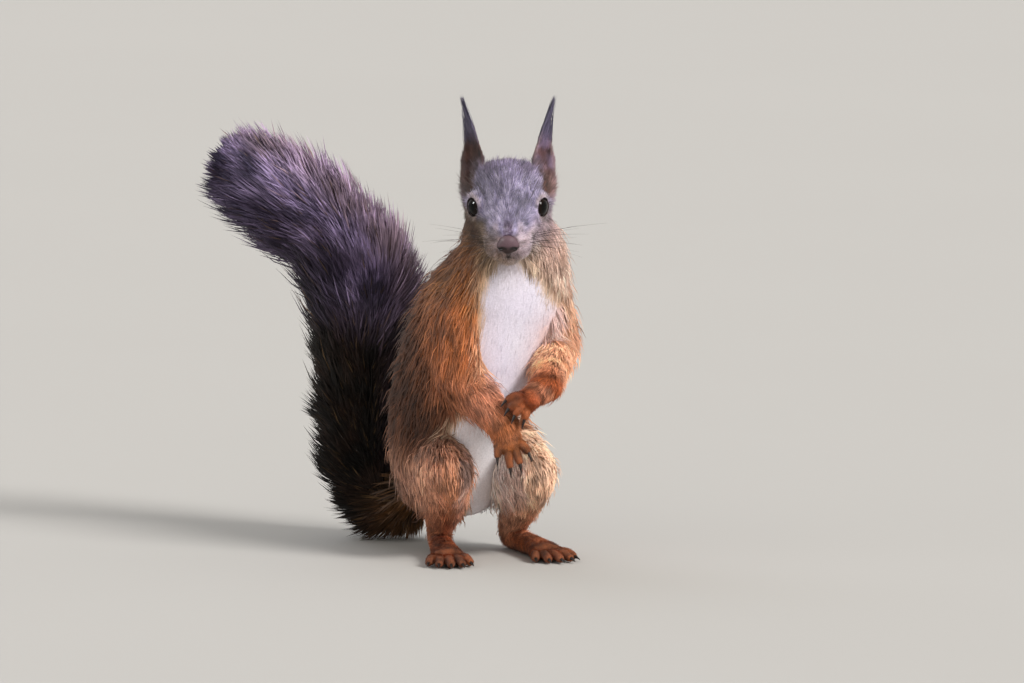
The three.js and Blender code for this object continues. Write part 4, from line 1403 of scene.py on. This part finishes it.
# Each oval: forward, side and up of its middle from the nose's, its three radii and its weld. Each line
# goes forward, side, up as well.
noseLook = {
    "grid": 0.24, "reach": 7.5, "body": ((-0.1, 0, 0.3), (2.9, 4.0, 3.5)),
    "ovals": [((-0.4, -2.9, -1.3), (2.4, 1.9, 1.9), 1.6), ((-0.4, 2.9, -1.3), (2.4, 1.9, 1.9), 1.6),
              ((-0.2, 0, -3.0), (2.2, 1.7, 1.6), 1.8)],
    "slit": [(2.9, 1.2, -1.3), (2.5, 2.2, -1.1), (1.7, 3.3, -1.5), (0.6, 4.5, -2.4)], "slitWide": 0.55,
    "cleft": [(3.3, 0, 0.4), (3.0, 0, -1.5), (2.4, 0, -3.2), (1.6, 0, -4.8)], "cleftWide": 0.32,
    "top": "5e4850", "low": "281818", "hole": "120c0d",
}


def ovalDistance(points, centre, radii):
    local = points - onHead(*centre)
    local = np.stack((local @ ahead, local[:, 0], local @ above), axis=1)
    k0 = np.linalg.norm(local / radii, axis=1)
    k1 = np.linalg.norm(local / np.square(radii), axis=1)
    return k0 * (k0 - 1) / np.maximum(k1, 1e-6)


def makeNose():
    middle = np.array(((noseCentre - headCentre) @ ahead, 0.0, (noseCentre - headCentre) @ above))
    lines = [np.arange(c - noseLook["reach"], c + noseLook["reach"], noseLook["grid"]) for c in noseCentre]
    grid = np.stack(np.meshgrid(*lines, indexing="ij"), axis=-1)
    points = grid.reshape(-1, 3)
    place, radii = noseLook["body"]
    body = ovalDistance(points, middle + place, radii)
    for place, radii, weld in noseLook["ovals"]:
        body = weldTo(body, ovalDistance(points, middle + place, radii), weld)
    slits = [smoothLine([onHead(*(middle + (f, sign * s, u))) for f, s, u in noseLook["slit"]], 3)
             for sign in (-1, 1)]
    cleft = smoothLine([onHead(*(middle + spot)) for spot in noseLook["cleft"]], 3)
    for line, wide in ((slits[0], noseLook["slitWide"]), (slits[1], noseLook["slitWide"]),
                       (cleft, noseLook["cleftWide"])):
        body = carveFrom(body, lineDistance(points, line) - wide, 0.4)
    found, faces = skinOf(body.reshape(grid.shape[:3]), lines)
    found = relax(found, faces, 2, 0.4)
    low = ramp(-((found - noseCentre) @ above), -0.6, 2.2)
    tint = mix(colour(noseLook["top"]), colour(noseLook["low"]), low)
    tint = mix(tint, colour(noseLook["hole"]), ramp(1.0 - gapToLines(found, slits), 0, 0.5))
    nose = makeObject("nose_pad", toFrame(found), faces, finishes["nose"], tint)
    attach(nose, "root")
    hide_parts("nose")


makeNose()

eyeLook = {"around": 64, "rings": 40, "pupil": 0.5, "pupilSoft": 0.12, "iris": 0.92, "irisSoft": 0.15,
           "pupilCode": "030303", "irisCode": "140a06", "edgeCode": "040303"}


def makeEye(side, eye):
    n = eyeLook["around"]
    phi = np.arange(n) / n * 2 * math.pi
    circle = np.cos(phi)[:, None] * eye["level"] + np.sin(phi)[:, None] * eye["up"]
    rings = []
    for theta in np.linspace(0, math.pi, eyeLook["rings"] + 1)[1:-1]:
        ring = math.cos(theta) * eye["look"] + math.sin(theta) * circle
        rings.append(eye["centre"] + eye["radius"] * ring)
    front = eye["centre"] + eye["radius"] * eye["look"]
    back = eye["centre"] - eye["radius"] * eye["look"]
    points = np.vstack((front, *rings, back))
    faces = []
    for i in range(n):
        j = (i + 1) % n
        faces.append((0, 1 + i, 1 + j))
        for r in range(len(rings) - 1):
            a, b = 1 + r * n, 1 + (r + 1) * n
            faces += [(a + i, b + i, b + j), (a + i, b + j, a + j)]
        last = 1 + (len(rings) - 1) * n
        faces.append((last + i, len(points) - 1, last + j))
    gaze = np.arccos(np.clip(unit(points - eye["centre"]) @ eye["look"], -1, 1))
    iris = ramp(gaze, eyeLook["pupil"], eyeLook["pupil"] + eyeLook["pupilSoft"])
    tint = mix(colour(eyeLook["pupilCode"]), colour(eyeLook["irisCode"]), iris)
    edge = ramp(gaze, eyeLook["iris"] - eyeLook["irisSoft"], eyeLook["iris"])
    tint = mix(tint, colour(eyeLook["edgeCode"]), edge)
    piece = makeObject(f"eyeball_{side}", toFrame(points), np.array(faces), finishes["eye"], tint)
    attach(piece, "root")
    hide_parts(f"eye_{side}")


for side, eye in eyes.items():
    makeEye(side, eye)
print("nose and eyes")


# A tree that turns lines with a thickness at each point into smooth tapered bristles.
def bristleTree(name, material):
    tree = bpy.data.node_groups.new(name, "GeometryNodeTree")
    tree.interface.new_socket("Lines", in_out="INPUT", socket_type="NodeSocketGeometry")
    tree.interface.new_socket("Bristles", in_out="OUTPUT", socket_type="NodeSocketGeometry")
    sides = tree.interface.new_socket("Sides", in_out="INPUT", socket_type="NodeSocketInt")
    size = tree.interface.new_socket("Thickness", in_out="INPUT", socket_type="NodeSocketFloat")
    nodes, links = tree.nodes, tree.links
    entry = nodes.new("NodeGroupInput")
    result = nodes.new("NodeGroupOutput")
    curve = nodes.new("GeometryNodeMeshToCurve")
    spread = nodes.new("GeometryNodeInputRadius")
    thick = addNode(nodes, "GeometryNodeInputNamedAttribute", {"Name": "thick"}, data_type="FLOAT")
    scaled = addNode(nodes, "ShaderNodeMath", operation="MULTIPLY")
    radius = nodes.new("GeometryNodeSetCurveRadius")
    ring = addNode(nodes, "GeometryNodeCurvePrimitiveCircle", {"Radius": 1.0})
    sweep = addNode(nodes, "GeometryNodeCurveToMesh", {"Fill Caps": True})
    smooth = nodes.new("GeometryNodeSetShadeSmooth")
    finish = addNode(nodes, "GeometryNodeSetMaterial", {"Material": material})
    real = nodes.new("GeometryNodeRealizeInstances")
    for start, output, end, given in (
        (entry, "Lines", curve, "Mesh"), (thick, "Attribute", scaled, 0), (entry, "Thickness", scaled, 1),
        (curve, "Curve", radius, "Curve"), (scaled, "Value", radius, "Radius"),
        (entry, "Sides", ring, "Resolution"), (radius, "Curve", sweep, "Curve"),
        (ring, "Curve", sweep, "Profile Curve"),
        (spread, "Radius", sweep, "Scale"), (sweep, "Mesh", smooth, "Geometry"),
        (smooth, "Geometry", real, "Geometry"), (real, "Geometry", finish, "Geometry"),
        (finish, "Geometry", result, "Bristles"),
    ):
        links.new(start.outputs[output], end.inputs[given])
    return tree, sides.identifier, size.identifier


# Bristles along the given lines. `tints` are the colours at their roots and tips.
def makeBristles(name, lines, thicknesses, sides, material, tints, nodeNames=()):
    points = np.concatenate(lines)
    starts = np.cumsum([0] + [len(line) for line in lines])
    edges = [np.column_stack((np.arange(a, b - 1), np.arange(a + 1, b))) for a, b in zip(starts, starts[1:])]
    mesh = bpy.data.meshes.new(f"{name}_lines")
    mesh.from_pydata(toFrame(points).tolist(), np.concatenate(edges).tolist(), [])
    layer = mesh.attributes.new("thick", "FLOAT", "POINT")
    layer.data.foreach_set("value", (np.concatenate(thicknesses) / metre).astype(np.float32))
    paintPoints(mesh, np.concatenate([mix(*tints, np.linspace(0, 1, len(line))) for line in lines]))
    draft = inScene(f"{name}_draft", mesh)
    tree, sidesInput, sizeInput = bristleTree(f"{name}_tree", material)
    grow = draft.modifiers.new("bristles", "NODES")
    grow.node_group = tree
    grow[sidesInput] = sides
    grow[sizeInput] = 1.0
    bpy.context.view_layer.update()
    graph = bpy.context.evaluated_depsgraph_get()
    result = bpy.data.meshes.new_from_object(draft.evaluated_get(graph))
    bpy.data.objects.remove(draft)
    piece = inScene(name, result)
    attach(piece, "root")
    if nodeNames:
        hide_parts(*nodeNames)
    print(name, len(result.polygons), "faces")


clawShare = np.linspace(0, 1, claw["points"])
clawThick = claw["root"] * (1 - clawShare ** claw["taper"]) + claw["tip"]


def clawLine(tip, heading, radius):
    root = tip + heading * (radius * digitTaper * digitEnd - claw["inside"])
    share = clawShare[:, None]
    drop = np.array((0, 0, -1.0)) * claw["drop"] * share ** 2
    line = root + heading * (claw["length"] + claw["inside"]) * share + drop
    return np.column_stack((line[:, :2], np.maximum(line[:, 2], clawThick + claw["floorGap"])))


clawLines = {"hand": [], "foot": []}
clawNodes = {"hand": [], "foot": []}
for side, limb in limbs.items():
    for i, (root, tip) in enumerate(limb["fingers"]):
        heading = unit(unit(np.subtract(tip, root)) + np.array((0, 0, -claw["hang"])))
        clawLines["hand"].append(clawLine(np.array(tip), heading, hand["finger"]))
        clawNodes["hand"].append(f"claw_hand_{side}_{i + 1}")
    for i, ((root, tip), (sideStep, reach, spread)) in enumerate(zip(limb["toes"], toes)):
        clawLines["foot"].append(clawLine(tip, turned(limb["footTurn"] - 90 + spread), foot["toe"]))
        clawNodes["foot"].append(f"claw_foot_{side}_{i + 1}")
for part, lines in clawLines.items():
    makeBristles(f"claws_{part}", lines, [clawThick] * len(lines), claw["sides"], finishes["claw"],
                 [colour(code) for code in claw["tints"]], clawNodes[part])

whiskers = {"count": 14, "rows": 4, "long": (18, 30), "thick": 0.09, "points": 12, "sides": 5, "inside": -0.2,
            "tints": ("1d1516", "5a4c4a")}
browHairs = {"count": 3, "long": 11, "longer": 2, "thick": 0.072}


def makeWhiskers():
    lines, thicknesses = [], []
    share = np.linspace(0, 1, whiskers["points"])[:, None]
    taper = 1 - 0.85 * share[:, 0]
    for sign in (-1, 1):
        aside = sign * np.array((1, 0, 0))
        for i in range(whiskers["count"]):
            place, row = divmod(i, whiskers["rows"])
            start = onHead(25.5 - 2.6 * place - 0.4 * row, sign * (6.0 + 1.1 * place), -4.2 - 1.5 * row)
            start = settle(start[None, :], whiskers["inside"], rounds=4)[0]
            out = unit(slopeAt(start[None, :]))[0]
            way = 0.9 * out + 0.9 * aside - (0.25 + 0.18 * place) * ahead + (0.28 - 0.22 * row) * above
            way = unit(way + 0.12 * draws.standard_normal(3))
            length = draws.uniform(*whiskers["long"]) * (0.72 + 0.12 * place)
            sweep = -0.30 * ahead * length * share ** 2 + np.array((0, 0, -0.16)) * length * share ** 2.2
            lines.append(start + way * length * share + sweep)
            thicknesses.append(whiskers["thick"] * taper)
        for i in range(browHairs["count"]):
            start = onHead(10 + 1.5 * i, sign * (9.5 - 0.4 * i), 9 - 0.6 * i)
            start = settle(start[None, :], whiskers["inside"], rounds=4)[0]
            way = unit(above + 0.55 * aside - 0.35 * ahead + 0.1 * draws.standard_normal(3))
            length = browHairs["long"] + browHairs["longer"] * i
            lines.append(start + way * length * share - 0.2 * ahead * length * share ** 2)
            thicknesses.append(browHairs["thick"] * taper)
    makeBristles("whiskers", lines, thicknesses, whiskers["sides"], finishes["whisker"],
                 [colour(code) for code in whiskers["tints"]])


makeWhiskers()


floorLook = {"half": 40.0, "code": "b8b6b2", "roughness": 1.0, "specular": 0.1, "darker": 0.97, "grain": 3.0}


def floorFinish():
    material, nodes, links, shader = newFinish("floorPaint", floorLook["roughness"], floorLook["specular"])
    place = nodes.new("ShaderNodeTexCoord")
    noise = addNode(nodes, "ShaderNodeTexNoise", {"Scale": floorLook["grain"], "Detail": 2.0})
    links.new(place.outputs["Object"], noise.inputs["Vector"])
    ramped = nodes.new("ShaderNodeValToRGB")
    ramped.color_ramp.elements[0].color = (*colour(floorLook["code"]) * floorLook["darker"], 1)
    ramped.color_ramp.elements[1].color = (*colour(floorLook["code"]), 1)
    links.new(noise.outputs["Fac"], ramped.inputs["Fac"])
    links.new(ramped.outputs["Color"], shader.inputs["Base Color"])
    return material


corners = np.array(((-1, -1, 0), (1, -1, 0), (1, 1, 0), (-1, 1, 0)))
floor = makeObject("studio_floor", floorLook["half"] * corners, np.array(((0, 1, 2, 3),)), floorFinish())

# Suns have a size in degrees, the small light by the eyes one in metres.
lightLook = {
    "key": {"kind": "SUN", "place": (1.0, -0.75, 1.0), "size": 20, "power": 3.1, "tint": (1.0, 0.975, 0.95)},
    "front": {"kind": "SUN", "place": (-0.05, -1.0, 0.15), "size": 50, "power": 0.65,
              "tint": (1.0, 0.97, 0.95)},
    "fill": {"kind": "SUN", "place": (-0.9, -0.8, 0.5), "size": 70, "power": 0.3, "tint": (1.0, 0.94, 0.86)},
    "back": {"kind": "SUN", "place": (-0.5, 0.8, 0.8), "size": 50, "power": 0.9, "tint": (0.82, 0.88, 1.0)},
    "spark": {"kind": "AREA", "place": (-1.0, -0.3, 0.8), "size": 0.30, "power": 16.0, "tint": (1, 1, 1)},
}
glossy = ("key", "spark")       # the lights that the eyes reflect
middle = np.array((0.0, 0.0, 0.10))


def aimedAt(thing, place, target):
    thing.location = place
    thing.rotation_euler = Vector(np.subtract(target, place)).to_track_quat("-Z", "Y").to_euler()


for name, look in lightLook.items():
    lamp = bpy.data.lights.new(f"{name}_light", look["kind"])
    if look["kind"] == "SUN":
        lamp.angle = math.radians(look["size"])
    else:
        lamp.size = look["size"]
    lamp.energy = look["power"]
    lamp.color = look["tint"]
    holder = inScene(f"{name}_light", lamp)
    aimedAt(holder, look["place"], middle)
    holder.visible_glossy = name in glossy
    holder.visible_diffuse = name != "spark"

worldLook = {"colour": (0.93, 0.90, 0.86, 1), "strength": 0.6}
world = bpy.data.worlds.new("studio")
world.use_nodes = True
world.node_tree.nodes["Background"].inputs["Color"].default_value = worldLook["colour"]
world.node_tree.nodes["Background"].inputs["Strength"].default_value = worldLook["strength"]
bpy.context.scene.world = world
bpy.context.scene.view_settings.view_transform = "Standard"

# The camera stands five metres off and a little above, and one millimetre is about 2.4 pixels.
view = {"distance": 5.0, "rise": 7.0, "target": (13.44, 0.0, 91.2), "across": 430.08, "sensor": 36.0}
rise = math.radians(view["rise"])
target = toFrame(view["target"])
camera = bpy.data.cameras.new("camera")
camera.sensor_width = view["sensor"]
camera.lens = view["sensor"] * view["distance"] / (view["across"] / metre)
camera.clip_end = 50
holder = inScene("camera", camera)
aimedAt(holder, target + view["distance"] * np.array((0, -math.cos(rise), math.sin(rise))), target)
bpy.context.scene.camera = holder
